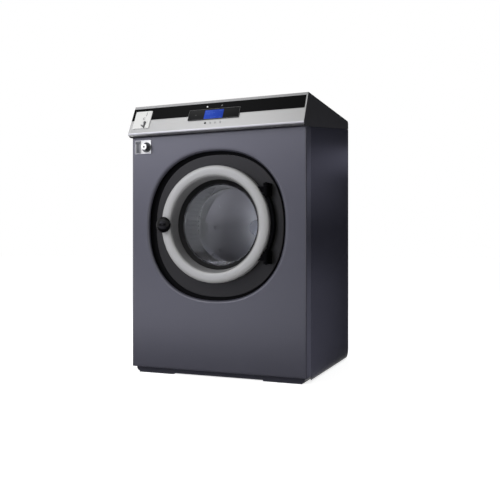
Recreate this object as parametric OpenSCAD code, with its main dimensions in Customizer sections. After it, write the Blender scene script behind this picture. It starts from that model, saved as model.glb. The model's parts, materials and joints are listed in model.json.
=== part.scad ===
// Coin-operated front-loading washing machine, hard mounted, in millimetres.
// +X points right as seen from the front, +Y to the back, +Z up; the floor is z = 0.
// Sizes are taken from the front panel's face, the door's centre and the tub,
// so a changed size carries along whatever sits on it.

/* [Cabinet] */
// width over the side panels
cab_w = 790; // [780:1:860]
// depth from the front panel's face to the rear panel's face
cab_d = 700; // [696:1:760]
// height of the front panel's top edge
panel_top = 1014; // [1008:1:1060]
// height of the front panel's bottom edge
panel_low = 26; // [18:1:40]
// height of the top cover
total_h = 1158; // [1150:1:1190]
// sheet of the outer panels
sheet = 2; // [1.5:0.1:2.5]
// depth of the front panel's turned-back sides
wrap = 62; // [50:1:80]
// bend radius on the front panel's upright edges
bend_r = 6; // [4:0.5:9]
// height of the side panels' bottom edge
side_low = 10.5; // [8:0.5:18]
// corner radius of a side panel at the rear foot
side_r = 40; // [25:1:60]
// how far the cheek's lower edge lies above the front panel, at the front
cheek_up = 3; // [1:0.5:6]
// how far the cheek's lower edge lies below the cover's top, at the rear
cheek_down = 37; // [25:1:50]
// corner radius of the top cover at the rear
cover_r = 15; // [8:1:25]

/* [Frame] */
// height of the frame's rails
rail_h = 80; // [60:1:90]
// width of the frame's rails
rail_w = 40; // [30:1:44]
// wall of the frame's rails
rail_t = 3; // [2.5:0.5:4]
// set-back of the front rail behind the front panel's face
plinth_in = 20; // [15:1:28]
// corner radius of the front rail at the floor
plinth_r = 16; // [8:1:25]
// length of a foot plate, across the machine
foot_w = 165; // [150:1:170]
// depth of a foot plate, front to back
foot_d = 130; // [115:1:140]
// set-back of the foot plates from the front rail's ends
foot_in = 13; // [8:1:20]
// foot plate thickness
foot_t = 5; // [4:0.5:8]
// floor anchor spacing across the machine
anchor_x = 600; // [580:1:620]
// floor anchor spacing front to back
anchor_y = 500; // [490:1:510]
// floor anchor hole
anchor_d = 14; // [11:0.5:18]
// width of a cross rail
cross_w = 50; // [40:1:56]

/* [Door opening] */
// height of the door's centre
door_z = 638; // [630:1:645]
// half width of the opening in the front panel
open_a = 309.4; // [300:0.2:320]
// half height of the opening in the front panel
open_b = 309; // [300:0.2:318]
// height of the opening's centre
open_z = 632; // [628:1:638]
// squareness of the opening, 2 is an ellipse
open_n = 2.27; // [2.05:0.01:2.6]
// depth of the opening's rolled lip
lip_y = 6; // [4:0.5:9]
// how far the surround's face stands behind the panel's face
surround_in = 24; // [20:1:26]
// half width of the surround plate
surround_a = 289; // [280:1:294]
// half height of the surround plate
surround_b = 294.6; // [285:0.2:297]
// surround plate thickness
surround_t = 4; // [3:0.5:5]
// radius of the mouth in the surround plate
mouth_r = 207; // [205:0.5:210]

/* [Door] */
// outer radius of the door ring
ring_r = 243; // [241:0.5:245]
// inner radius of the door ring
ring_in = 200.5; // [199:0.5:203]
// how far the ring's crest stands in front of the panel's face
crest = 20; // [16:0.5:26]
// wall of the ring's skirt
skirt = 2.2; // [1.8:0.1:3]
// thickness of the door frame behind the ring
frame_t = 15; // [12:0.5:16]
// front radius of the cone between ring and glass
cone_r = 197.5; // [194:0.5:198]
// rear radius of the cone, around the gasket
cone_end = 189.2; // [186:0.2:190]
// radius of the glass that shows inside the gasket
glass_r = 172; // [168:0.5:175]
// glass thickness
glass_t = 6; // [4:0.5:7]
// depth of the glass bowl behind its rim
bowl_deep = 117; // [100:1:120]
// radius of the bowl's rear end
bowl_r = 162; // [150:1:164]
// radius of the bend between the bowl's wall and its flat end
bowl_bend = 18; // [10:1:30]
// door knob diameter
knob_d = 67; // [56:1:76]
// front to back size of the flattened ball that the knob is cut from
knob_t = 34; // [28:1:44]
// distance from the middle of that ball to the flat back
knob_back = 12; // [6:0.5:13]
// place of the knob's axis left of the door's centre
knob_x = 223; // [221:0.5:226]
// latch spindle diameter
spindle_d = 16; // [12:0.5:18]
// reach of the latch finger from its axis
finger_l = 24; // [20:0.5:26]
// width of the latch finger
finger_w = 10; // [8:0.5:12]

/* [Hinge] */
// place of the hinge axis right of the door's centre
hinge_x = 231; // [229:0.5:232]
// how far the hinge axis stands in front of the panel's face
hinge_out = 12; // [10:0.5:13]
// hinge pin diameter
pin_d = 10; // [8:0.5:12]
// radius of the hinge lugs
lug_r = 12; // [11:0.5:12.5]
// height from the door's centre to the nearer side of a hinge lug
lug_z = 112; // [108:1:125]
// overall height of a hinge lug
lug_h = 50; // [44:1:56]
// height of one fork arm of a hinge lug
fork_h = 12; // [9:0.5:14]
// inner radius of the hinge band around the ring
band_r = 247; // [246:0.5:249]
// width of the hinge band
band_w = 13; // [10:0.5:15]

/* [Tub and drum] */
// inner radius of the tub
tub_r = 337; // [330:1:340]
// wall of the tub
tub_t = 3; // [2:0.5:4]
// room between drum and tub, front and back together
drum_room = 53; // [46:1:60]
// tub's front plate behind the front panel's face
tub_in = 79; // [76:1:90]
// radius of the tub's mouth collar, inside
collar_r = 207; // [206:0.5:208]
// radius of the drum
drum_r = 305; // [290:1:312]
// depth of the drum
drum_d = 385; // [350:1:390]
// drum sheet thickness
drum_t = 1.5; // [1.2:0.1:2.5]
// radius of the drum's mouth
drum_mouth = 196; // [185:1:205]
// height of a drum lifter
lifter_h = 62; // [40:1:75]
// number of drum lifters
lifters = 3; // [3:1:4]
// rows of drain holes in the drum
hole_rows = 5; // [3:1:7]
// drain holes around the drum in a row
hole_ring = 18; // [12:1:24]
// drain hole diameter
hole_d = 12; // [6:0.5:14]

/* [Drive] */
// drum shaft diameter
shaft_d = 50; // [40:1:56]
// bearing outside diameter
bearing_d = 90; // [80:1:96]
// bearing width
bearing_w = 22; // [18:1:26]
// length of the bearing housing
housing_l = 110; // [100:1:114]
// drum pulley diameter
pulley_d = 400; // [360:1:430]
// motor pulley diameter
small_pulley_d = 50; // [44:1:60]
// belt width
belt_w = 26; // [20:1:30]
// belt thickness
belt_t = 5; // [4:0.5:7]
// motor body diameter
motor_d = 170; // [140:1:174]
// motor body length
motor_l = 250; // [220:1:264]
// height of the motor's axis
motor_z = 174; // [172:1:190]

/* [Water] */
// drain pipe outside diameter
pipe_d = 63; // [50:1:66]
// drain pipe wall
pipe_t = 3; // [2:0.5:5]
// place of the drain outlet left of the middle
outlet_x = 150; // [145:1:160]
// how far outlets stand out behind the rear panel
outlet_out = 25; // [18:1:35]
// drain valve ball diameter
ball_d = 64; // [56:1:68]
// bore of the drain valve ball
ball_bore = 44; // [36:1:48]
// water inlet thread diameter
inlet_d = 26.4; // [20:0.2:27]
// spacing of the two water inlets
inlet_gap = 70; // [60:1:90]
// heater rod diameter
heater_d = 9; // [7:0.5:11]
// supply hose outside diameter
supply_d = 46; // [38:1:50]
// cable gland hole diameter
gland_d = 25; // [20:0.5:32]

/* [Console] */
// radius of the console's nose
nose_r = 17.3; // [14:0.1:20]
// how far the nose stands in front of the panel's face
nose_out = 32.6; // [28:0.2:38]
// lean of the console's face from the vertical
slope = 26.1; // [22:0.1:29]
// lower edge of the dark strip, up the slope
strip_low = 56.5; // [54:0.5:60]
// upper edge of the dark strip, up the slope
strip_high = 117.5; // [112:0.5:119]
// thickness of the dark strip
strip_t = 1.5; // [1:0.1:2]
// width of the control bezel
bezel_w = 231; // [220:1:245]
// height of the control bezel
bezel_h = 51.5; // [49:0.5:54]
// lower edge of the control bezel, up the slope
bezel_low = 34; // [32:0.5:37]
// thickness of the control bezel
bezel_t = 3; // [2.4:0.1:4]
// width of the display
screen_w = 85; // [78:1:92]
// height of the display
screen_h = 44; // [40:0.5:46]
// key diameter
key_d = 9; // [7:0.5:11]
// key spacing
key_gap = 22.3; // [20:0.1:25]
// height of the keys, up the slope
key_s = 17.2; // [14:0.2:20]
// key travel
key_travel = 1.2; // [0.8:0.1:1.6]
// indicator lamp diameter
lamp_d = 8; // [6:0.5:9]

/* [Coin unit] */
// width of the coin plate and of the coin box front
coin_w = 80; // [78:0.5:84]
// gap between the coin plate and the cabinet's left edge
coin_in = 16; // [14:0.5:18]
// lower edge of the coin plate, up the slope
coin_low = 13; // [10:0.5:16]
// height of the coin plate
coin_h = 89; // [86:0.5:92]
// coin plate thickness
coin_t = 3; // [2:0.1:4]
// length of the coin slot
slot_l = 20; // [16:0.5:26]
// width of the coin slot
slot_w = 3.4; // [2.4:0.1:4]
// height of the coin box front
box_h = 58.5; // [56:0.5:60]
// top edge of the coin box front below the front panel's top edge
box_drop = 9; // [7:0.5:12]
// depth of the coin vault
vault_d = 130; // [110:1:150]
// coin lock barrel diameter
lock_d = 25; // [20:0.5:28]
// how far the coin lock barrel stands out
lock_out = 24; // [14:0.5:28]
// reach of the coin lock's cam from its axis
cam_l = 20.5; // [20.2:0.1:21]

/* [Supply box] */
// width of the detergent box
supply_w = 240; // [200:1:250]
// length of the detergent box, front to back
supply_l = 200; // [160:1:210]
// depth of the detergent box
supply_deep = 112; // [90:1:116]
// wall of the detergent box
supply_t = 2.5; // [2:0.1:3.5]

/* [Hidden] */
$fn = 96;
c_panel = "#71717b";
c_side = "#3d3d45";
c_dark = "#2c2c2c";
c_black = "#141516";
c_steel = "#bebebe";
c_zinc = "#9a9da0";
c_white = "#dcdcda";

seat = 0.3;
run = 0.05;
hw = cab_w / 2;
yf = -cab_d / 2;
yr = cab_d / 2;
cheek_front = panel_top + cheek_up;
cheek_rear = total_h - cheek_down;
rail_top = foot_t + rail_h;
rail_x = hw - 12;
rail_y0 = yf + plinth_in;
rail_y1 = yr - side_r;

// Door stack, counted back from the front panel's face.
surround_y = yf + surround_in;
recess_y = surround_y + surround_t + 2;
open_edge = 5;
ring_front = yf - crest;
ring_edge = yf - 9;
frame_y1 = surround_y - 9;
frame_y0 = frame_y1 - frame_t;
cone_y0 = yf - 12;
gasket_y0 = surround_y + 10.3;
gasket_y1 = gasket_y0 + 27.7;
rim_y0 = gasket_y0 + 16.7;
rim_y1 = rim_y0 + glass_t;
collar_y = surround_y + surround_t + 4;
hinge_y = yf - hinge_out;
finger_y0 = collar_y + 6;
finger_y1 = finger_y0 + 8;
lock_y = finger_y1 + 4;

// Tub, drum and drive, counted back from the tub's front plate.
tub_y0 = yf + tub_in;
tub_d = drum_d + drum_room;
tub_y1 = tub_y0 + tub_t + tub_d;
tub_out = tub_r + tub_t;
flange_r = tub_out + 7;
drum_y0 = tub_y0 + 26;
drum_y1 = drum_y0 + drum_d;
housing_y0 = tub_y1 + tub_t;
housing_y1 = housing_y0 + housing_l;
pulley_y0 = housing_y1 + 7;
pulley_y1 = pulley_y0 + belt_w + 4;
belt_y0 = pulley_y0 + 2;
shaft_r = shaft_d / 2;
bearing_r = bearing_d / 2;
hub_r = bearing_r + 17;
leg_y0 = housing_y0 + 16;
leg_y1 = leg_y0 + 38;
foot_x = 250;
motor_y1 = housing_y1 - 13;
motor_y0 = motor_y1 - motor_l;

// Drain, below the tub's lowest line.
drain_y = tub_y0 + 131;
drain_top = door_z - tub_out - 26;
pipe_r = pipe_d / 2;
pipe_z = rail_top + pipe_r + 3;
elbow_r = 40;
valve_low = pipe_z + elbow_r + 10;
valve_r = 42;
ball_z = (drain_top + valve_low) / 2;
stub_r = 34;

// Console, in its own slanted frame: x right, s up the slope, n outward.
lean = 90 - slope;
nose_y = yf - nose_out + nose_r;
nose_z = panel_top + 0.4 + nose_r;
nose_back = yf + 30;
face_y = nose_y - nose_r * sin(lean);
face_z = nose_z + nose_r * cos(lean);
bezel_x = -1.5;
screen_x = -1;
screen_s = bezel_low + 2 + screen_h / 2;
coin_x0 = -hw + coin_in;
coin_x1 = coin_x0 + coin_w;
coin_cx = coin_x1 - 24.5;
cover_t = 2.5;

// Coin box behind the front panel.
box_z1 = panel_top - box_drop;
box_z0 = box_z1 - box_h;
lock_x = coin_x1 - 22;
lock_z = (box_z0 + box_z1) / 2 - 2.8;
vault_x0 = coin_x0 + 2;
vault_x1 = coin_x1 - 2;
vault_y1 = yf + vault_d;

// Detergent box under the top cover.
supply_x0 = -330;
supply_y0 = -20;
supply_z1 = total_h - cover_t - seat;
supply_z0 = supply_z1 - supply_deep;
outlet_px = supply_x0 + supply_w - 30;
outlet_py = supply_y0 + 80;
inlet_x = supply_x0 + 55;
inlet_z = supply_z0 + 40;

// Helpers

// A box from its six faces.
module block(x0, x1, y0, y1, z0, z1)
  translate([x0, y0, z0]) cube([x1 - x0, y1 - y0, z1 - z0]);

// A flat shape drawn in X and Z, thick along Y.
module slab(y0, y1) translate([0, y1, 0]) rotate([90, 0, 0]) linear_extrude(y1 - y0) children();

// A flat shape drawn in Y and Z, thick along X.
module side_slab(x0, x1) translate([x0, 0, 0]) rotate([90, 0, 90]) linear_extrude(x1 - x0) children();

// A ring around the drum's axis.
module ring(r_out, r_in, y0, y1)
  slab(y0, y1) translate([0, door_z]) difference() {
    circle(r_out);
    circle(r_in);
  }

// A round bar along Y.
module rod(x, z, r, y0, y1) translate([x, y1, z]) rotate([90, 0, 0]) cylinder(r = r, h = y1 - y0);

// A profile of [radius, y] points turned around an axis along Y.
module turned_at(x, z, points)
  translate([x, 0, z]) rotate([90, 0, 0]) rotate_extrude()
    polygon([for (p = points) [p[0], -p[1]]]);

module turned(points) turned_at(0, door_z, points);

// Points on an arc in a profile.
function arc(cx, cy, rx, ry, a0, a1, n) =
  [for (i = [0:n]) let (a = a0 + (a1 - a0) * i / n) [cx + rx * cos(a), cy + ry * sin(a)]];

function power(v) = sign(v) * pow(abs(v), 2 / open_n);

// The door opening's squarish round outline.
module egg(grow, a = open_a, b = open_b, z = open_z)
  translate([0, z]) polygon([for (i = [0:95])
    [(a + grow) * power(cos(i * 3.75)), (b + grow) * power(sin(i * 3.75))]]);

module egg_ring(y0, y1, outer, inner) slab(y0, y1) difference() {
  egg(outer);
  egg(inner);
}

// Places its children on the console's slanted face.
module on_face() translate([0, face_y, face_z]) rotate([lean, 0, 0]) children();

module rounded(x0, x1, y0, y1, r) {
  translate([x0 + r, y0]) square([x1 - x0 - 2 * r, y1 - y0]);
  translate([x0, y0 + r]) square([x1 - x0, y1 - y0 - 2 * r]);
  for (x = [x0 + r, x1 - r], y = [y0 + r, y1 - r]) translate([x, y]) circle(r);
}

// Cabinet

module foot_plate(sx, sy) {
  x = sx * anchor_x / 2;
  y = sy * anchor_y / 2;
  out_x = sx * (rail_x - foot_in);
  out_y = sy > 0 ? rail_y1 : rail_y0;
  in_x = out_x - sx * foot_w;
  in_y = out_y - sy * foot_d;
  difference() {
    block(min(out_x, in_x), max(out_x, in_x), min(out_y, in_y), max(out_y, in_y), 0, foot_t);
    translate([x, y, -1]) cylinder(d = anchor_d, h = foot_t + 2);
  }
}

module cradle() difference() {
  slab(-8 + drain_y - 60, drain_y - 60) difference() {
    polygon([[-270, rail_top], [270, rail_top], [300, door_z - 190], [-300, door_z - 190]]);
    translate([0, door_z]) circle(tub_out + seat);
    translate([0, rail_top + 70]) square([200, 90], center = true);
  }
}

module base_frame() color(c_zinc) {
  difference() {
    intersection() {
      slab(rail_y0, rail_y1) union() {
        translate([-rail_x, foot_t + plinth_r]) square([2 * rail_x, rail_h - plinth_r]);
        translate([-rail_x + plinth_r, foot_t]) square([2 * (rail_x - plinth_r), rail_h]);
        for (x = [-rail_x + plinth_r, rail_x - plinth_r])
          translate([x, foot_t + plinth_r]) circle(plinth_r);
      }
      block(-rail_x, rail_x, rail_y0, rail_y1, foot_t, rail_top);
    }
    block(-rail_x + rail_w, rail_x - rail_w, rail_y0 + rail_w, rail_y1 - rail_w, 0, rail_top + 1);
    block(-rail_x + rail_t, rail_x - rail_t, rail_y0 + rail_t, rail_y1 - rail_t,
      foot_t + plinth_r, rail_top - rail_t);
  }
  for (sx = [-1, 1], sy = [-1, 1]) foot_plate(sx, sy);
  for (y = [drain_y - 89, leg_y0 - 6])
    block(-rail_x + rail_w, rail_x - rail_w, y, y + cross_w, foot_t, rail_top);
  block(-rail_x + rail_w, rail_x - rail_w, motor_y0 + 15, motor_y0 + 15 + cross_w, foot_t, rail_top);
  cradle();
  for (sx = [-1, 1]) for (y = [rail_y0, rail_y1 - rail_w])
    block(min(sx * rail_x, sx * (rail_x - rail_t)), max(sx * rail_x, sx * (rail_x - rail_t)),
      y, y + rail_w, rail_top, panel_top - 20);
}

// Height of the cover's lower edge over a place front to back.
function cheek_z(y) = cheek_front + (cheek_rear - cheek_front) * (y - yf) / cab_d;

module front_panel() color(c_panel) {
  difference() {
    union() {
      translate([0, 0, panel_low]) linear_extrude(panel_top - panel_low) difference() {
        union() {
          translate([-hw + bend_r, yf]) square([cab_w - 2 * bend_r, wrap]);
          translate([-hw, yf + bend_r]) square([cab_w, wrap - bend_r]);
          for (x = [-hw + bend_r, hw - bend_r]) translate([x, yf + bend_r]) circle(bend_r);
        }
        translate([-hw + bend_r, yf + sheet]) square([cab_w - 2 * bend_r, wrap]);
        translate([-hw + sheet, yf + bend_r]) square([cab_w - 2 * sheet, wrap]);
        for (x = [-hw + bend_r, hw - bend_r]) translate([x, yf + bend_r]) circle(bend_r - sheet);
      }
      block(-hw + bend_r, hw - bend_r, yf + sheet, yf + 18, panel_low, panel_low + sheet);
      block(coin_x1 + 6, hw - bend_r, yf + sheet, yf + 22, panel_top - sheet, panel_top);
    }
    slab(yf - 1, yf + sheet + 1) egg(0);
    block(vault_x0 + 0.5, vault_x1 - 0.5, yf - 1, yf + sheet + 1, box_z0 + 2, box_z1 - 2);
  }
  for (x = [-hw, hw - sheet]) side_slab(x, x + sheet)
    polygon([[nose_back + 1, panel_top - 1], [yf + wrap, panel_top - 1],
      [yf + wrap, cheek_z(yf + wrap) - 1], [nose_back + 1, cheek_z(nose_back + 1) - 1]]);
  egg_ring(yf + sheet, yf + 2 * lip_y / 3, 1, -open_edge / 2);
  egg_ring(yf + 2 * lip_y / 3, yf + lip_y, -0.5, -open_edge);
}

module side_panel(sx) {
  x0 = sx > 0 ? hw - sheet : -hw;
  y0 = yf + wrap + 1;
  low_r = side_r;
  top0 = cheek_z(y0) - 1;
  top1 = cheek_rear - 1;
  side_slab(x0, x0 + sheet) union() {
    polygon([[y0, side_low], [yr - low_r, side_low], [yr - low_r, side_low + low_r],
      [yr, side_low + low_r], [yr, top1], [y0, top0]]);
    translate([yr - low_r, side_low + low_r]) circle(low_r);
  }
  lip = 13;
  xl = sx > 0 ? hw - sheet - lip : -hw + sheet;
  block(xl, xl + lip, y0, y0 + sheet, rail_top + 6, panel_top - 12);
  block(xl, xl + lip, yr - 2 * sheet - seat, yr - sheet - seat, side_low + 50, cheek_rear - 20);
}

module side_panel_left() color(c_side) side_panel(-1);

module side_panel_right() color(c_side) side_panel(1);

access_r = 225;

module rear_panel() color(c_zinc) difference() {
  block(-hw + sheet + 1, hw - sheet - 1, yr - sheet, yr, side_low + side_r, cheek_rear - 3);
  rod(0, door_z, access_r, yr - sheet - 1, yr + 1);
  rod(-outlet_x, pipe_z, pipe_r + 1, yr - sheet - 1, yr + 1);
  for (i = [0, 1]) rod(inlet_x + i * inlet_gap, inlet_z, inlet_d / 2 + 2.5, yr - sheet - 1, yr + 1);
  rod(inlet_x + 3 * inlet_gap, inlet_z, gland_d / 2, yr - sheet - 1, yr + 1);
}

module rear_access_cover() color(c_zinc) {
  difference() {
    ring(access_r + 22, 60, yr, yr + sheet);
    for (i = [0:7]) let (a = 22.5 + 45 * i)
      rod((access_r + 11) * cos(a), door_z + (access_r + 11) * sin(a), 3, yr - 1, yr + sheet + 1);
  }
  ring(64, 0, yr + sheet, yr + 2 * sheet);
  for (i = [0:7]) let (a = 22.5 + 45 * i)
    rod((access_r + 11) * cos(a), door_z + (access_r + 11) * sin(a), 5, yr + sheet, yr + sheet + 4);
}

// The cover's body without its hollow, between the two cheeks' outer faces.
module cover_body() {
  r = nose_r - sheet;
  y_top = face_y + (total_h - face_z) * tan(slope) + sheet / cos(slope);
  translate([-hw, nose_y, nose_z]) rotate([0, 90, 0]) cylinder(r = r, h = cab_w);
  translate([-hw, yr - cover_r, total_h - cover_r]) rotate([0, 90, 0])
    cylinder(r = cover_r, h = cab_w);
  side_slab(-hw, hw) polygon([[nose_y, nose_z - r],
    [nose_y - r * sin(lean), nose_z + r * cos(lean)], [y_top, total_h],
    [yr - cover_r, total_h], [yr, total_h - cover_r], [yr, cheek_rear], [yf, cheek_front]]);
}

lid_y = supply_y0 + supply_l + 4;
lid_z = total_h + 7;
lid_hinges = [supply_x0 + 30, supply_x0 + supply_w - 60];
lid_barrel = 30;
lid_pin = 3;

module lid_posts() for (x = lid_hinges) {
  for (px = [x - 4 - seat, x + lid_barrel + seat])
    block(px, px + 4, lid_y - 4, lid_y + 4, total_h - 1, lid_z + 3);
  translate([x - 1, lid_y, lid_z]) rotate([0, 90, 0]) cylinder(d = lid_pin, h = lid_barrel + 2);
}

module top_cover() color(c_dark) {
  lid_posts();
  cover_shell();
}

module cover_shell() difference() {
  cover_body();
  side_slab(-hw + cover_t, hw - cover_t) polygon([[yf - 60, panel_top - 10],
    [yf - 60, total_h - cover_t], [yr - cover_r, total_h - cover_t],
    [yr - cover_t, total_h - cover_r], [yr - cover_t, panel_top - 10]]);
  translate([0, 0, total_h - cover_t - 1]) linear_extrude(cover_t + 2)
    rounded(supply_x0 + 8, supply_x0 + supply_w - 8, supply_y0 + 8, supply_y0 + supply_l - 8, 10);
}

// Console

// Solid under the console's face, with the face moved in by inset.
module nose_body(inset, back, over) {
  r = nose_r - inset;
  top = total_h + over;
  y_top = face_y + (top - face_z) * tan(slope) + inset / cos(slope);
  translate([-hw - over, nose_y, nose_z]) rotate([0, 90, 0]) cylinder(r = r, h = cab_w + 2 * over);
  side_slab(-hw - over, hw + over) polygon([[nose_y, nose_z - r],
    [nose_y - r * sin(lean), nose_z + r * cos(lean)], [y_top, top],
    [y_top + 6 + back, top], [nose_back + back, nose_z - r]]);
}

module fascia_sheet() difference() {
  nose_body(0, 0, 0);
  nose_body(sheet, cab_d, 5);
}

module console_fascia() color(c_steel) difference() {
  fascia_sheet();
  block(coin_cx - 15, coin_cx + 15, yf + 5, yf + 31, panel_top - 1, nose_z);
  on_face() {
    block(screen_x - screen_w / 2 - 12, screen_x + screen_w / 2 + 12,
      bezel_low + 4, bezel_low + bezel_h - 4, -sheet - 1, 1);
    for (i = [0:3]) translate([key_x(i), key_s, -sheet - 1]) cylinder(d = key_d + 2 * run, h = 9);
    for (p = lamp_places) translate([p[0], p[1], -sheet - 1]) cylinder(d = lamp_d + 0.4, h = 9);
    block(coin_x0 + 6, coin_x1 - 6, coin_low + 8, coin_low + coin_h - 6, -sheet - 1, 1);
  }
}

lamp_places = [[-38.9, 99.5], [27.5, 100.8], [-82.9, 58.5]];

function key_x(i) = (i - 1.5) * key_gap;

module fascia_strip() color(c_black) on_face() difference() {
  block(-hw + 1.5, hw - 6, strip_low, strip_high, run, strip_t);
  block(bezel_x - bezel_w / 2 - seat, bezel_x + bezel_w / 2 + seat,
    bezel_low, bezel_low + bezel_h + seat, -1, strip_t + 1);
  block(coin_x0 - seat, coin_x1 + seat, coin_low, coin_low + coin_h + seat, -1, strip_t + 1);
  for (i = [0, 1]) translate([lamp_places[i][0], lamp_places[i][1], -1])
    cylinder(d = lamp_d + 0.4, h = strip_t + 2);
}

module control_bezel() color(c_black) on_face() difference() {
  union() {
    linear_extrude(bezel_t) rounded(bezel_x - bezel_w / 2, bezel_x + bezel_w / 2,
      bezel_low, bezel_low + bezel_h, 5);
    linear_extrude(bezel_t + 0.8) difference() {
      rounded(bezel_x - bezel_w / 2, bezel_x + bezel_w / 2, bezel_low, bezel_low + bezel_h, 5);
      rounded(bezel_x - bezel_w / 2 + 1.4, bezel_x + bezel_w / 2 - 1.4,
        bezel_low + 1.4, bezel_low + bezel_h - 1.4, 3.6);
    }
  }
  block(screen_x - screen_w / 2 - 0.2, screen_x + screen_w / 2 + 0.2,
    screen_s - screen_h / 2 - 0.2, screen_s + screen_h / 2 + 0.2, -1, bezel_t + 2);
  translate([lamp_places[2][0], lamp_places[2][1], -1]) cylinder(d = lamp_d + 0.4, h = bezel_t + 3);
}

board_n = -24;

module display_screen() color("#2241a9") on_face() {
  block(screen_x - screen_w / 2, screen_x + screen_w / 2, screen_s - screen_h / 2,
    screen_s + screen_h / 2, seat, bezel_t + 0.3);
  block(screen_x - screen_w / 2 + 6, screen_x + screen_w / 2 - 6, screen_s - 14, screen_s + 14,
    board_n + seat, 1);
}

module control_board() color("#2f6a3c") on_face() {
  block(-120, 115, 6, 112, board_n - 1.6, board_n);
  for (x = [-112, 107], s = [12, 106])
    translate([x, s, board_n]) cylinder(d = 8, h = -board_n - sheet);
  for (i = [0:3]) translate([key_x(i), key_s, board_n])
    cylinder(d = 6, h = -board_n - 16 - key_travel);
  for (x = [60, 80]) translate([x, 40, board_n - 24]) cylinder(d = 16, h = 24 - 1.6);
  block(-100, -55, 30, 70, board_n - 14, board_n - 1.6);
  block(-30, 30, 45, 90, board_n - 8, board_n - 1.6);
}

module indicator_lamps() color("#e8e8e8") on_face() for (i = [0:2])
  translate([lamp_places[i][0], lamp_places[i][1], board_n])
    cylinder(d = lamp_d, h = -board_n + (i == 2 ? bezel_t : strip_t) + 0.7);

module control_key(i) on_face() translate([key_x(i), key_s, 0]) {
  translate([0, 0, -15.8]) cylinder(d = key_d, h = 17.8);
  translate([0, 0, -sheet - 3]) cylinder(d = key_d + 4, h = 2.7);
}

module key_1() color("#3a3a3c") control_key(0);

module key_2() color("#3a3a3c") control_key(1);

module key_3() color("#3a3a3c") control_key(2);

module key_4() color("#3a3a3c") control_key(3);

// Coin unit

lever_s = coin_low + 29.3;
lever_pin = 5;

module coin_plate() color(c_white) on_face() difference() {
  linear_extrude(coin_t) rounded(coin_x0, coin_x1, coin_low, coin_low + coin_h, 3);
  block(coin_cx - slot_w / 2, coin_cx + slot_w / 2, coin_low + 63, coin_low + 63 + slot_l, -1, 9);
  translate([coin_cx, lever_s, -1]) cylinder(d = lever_pin + 2 * run, h = 9);
  translate([coin_cx - 8, coin_low + 50.5, coin_t - 1]) difference() {
    cylinder(d = 11, h = 9);
    translate([0, 0, -1]) cylinder(d = 6, h = 9);
    block(1, 9, -2.4, 2.4, -2, 9);
  }
}

module coin_return_lever() color("#6d6f72") on_face() translate([coin_cx, lever_s, 0]) {
  translate([0, 0, -4]) cylinder(d = lever_pin, h = coin_t + 4 + seat);
  translate([0, 0, coin_t + seat]) {
    cylinder(d = 11, h = 4);
    linear_extrude(4) polygon([[-3, 0], [3, 0], [3.6, -28], [-1.6, -28]]);
    linear_extrude(4) polygon([[-3, -20], [-15, -10], [-15, -15], [-1, -26]]);
  }
}

acceptor_n = -66;

module coin_acceptor() color(c_dark) difference() {
  union() {
    on_face() block(coin_x0 + 12, coin_x1 - 12, coin_low + 10, coin_low + coin_h - 10,
      acceptor_n, -seat);
    block(coin_cx - 14, coin_cx + 14, yf + 6, yf + 26, box_z1 + 2, nose_z + 6);
  }
  on_face() block(coin_cx - 2, coin_cx + 2, coin_low + 40, coin_low + 84, acceptor_n + 12, 1);
  on_face() translate([coin_cx, lever_s, -5]) cylinder(d = lever_pin + 1, h = 9);
  block(coin_cx - 2, coin_cx + 2, yf + 9, yf + 23, box_z1 - 1, nose_z + 30);
}

module coin_vault() color(c_zinc) difference() {
  block(vault_x0, vault_x1, yf + sheet, vault_y1, box_z0 + 1, box_z1 + 1.7);
  block(vault_x0 + 2, vault_x1 - 2, yf, vault_y1 - 2, box_z0 + 3, box_z1 - 1);
  block(coin_cx - 15, coin_cx + 15, yf + 5, yf + 27, box_z1 - 2, box_z1 + 3);
  block(vault_x1 - 3, vault_x1 + 1, yf + 3, yf + 9, lock_z - 17, lock_z + 7);
}

module coin_box() color(c_steel) difference() {
  union() {
    slab(yf - 4, yf - seat) rounded(coin_x0, coin_x1, box_z0, box_z1, 3);
    difference() {
      block(vault_x0 + 2.6, vault_x1 - 2.6, yf - seat, vault_y1 - 4, box_z0 + 3.6, box_z1 - 8);
      block(vault_x0 + 4.1, vault_x1 - 4.1, yf + 2, vault_y1 - 5.5, box_z0 + 5.1, box_z1 - 7);
      block(vault_x1 - 6, vault_x1, yf + 3, yf + 9, lock_z - 17, lock_z + 7);
    }
  }
  block(coin_x0 + 2, coin_x0 + 29, yf - 5, yf - 2, box_z1 - 15.5, box_z1 - 5.5);
  block(coin_x0 + 8.5, coin_x0 + 24, yf - 5, yf - 2, box_z0 + 4.5, box_z1 - 10);
  rod(lock_x, lock_z, 8 + run, yf - 5, yf + 3);
}

module coin_lock() color(c_steel) difference() {
  union() {
    rod(lock_x, lock_z, lock_d / 2, yf - 4 - seat - lock_out, yf - 4 - seat);
    rod(lock_x, lock_z, 21.5, yf - 4 - seat - 3, yf - 4 - seat);
    rod(lock_x, lock_z, 8, yf - 4 - seat, yf + 7.5);
    block(lock_x - 5, lock_x + 5, yf + 4.5, yf + 7.5, lock_z - cam_l, lock_z);
  }
  block(lock_x - 1, lock_x + 1, yf - 5 - lock_out, yf - lock_out + 6, lock_z - 5, lock_z + 5);
}

// Door opening

module mouth_recess() color(c_black) {
  egg_ring(yf + sheet, yf + sheet + 2, 14, 1.3);
  egg_ring(yf + sheet + 2, recess_y, 3.5, 1.3);
  slab(recess_y, recess_y + 2) difference() {
    egg(3.5);
    egg(0, surround_a - 9, surround_b - 9.6, open_z + 1.5);
  }
}

module surround_outline(grow) egg(grow, surround_a, surround_b, open_z + 1.5);

slot_x0 = knob_x + 13;
slot_x1 = knob_x - 11;

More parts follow.
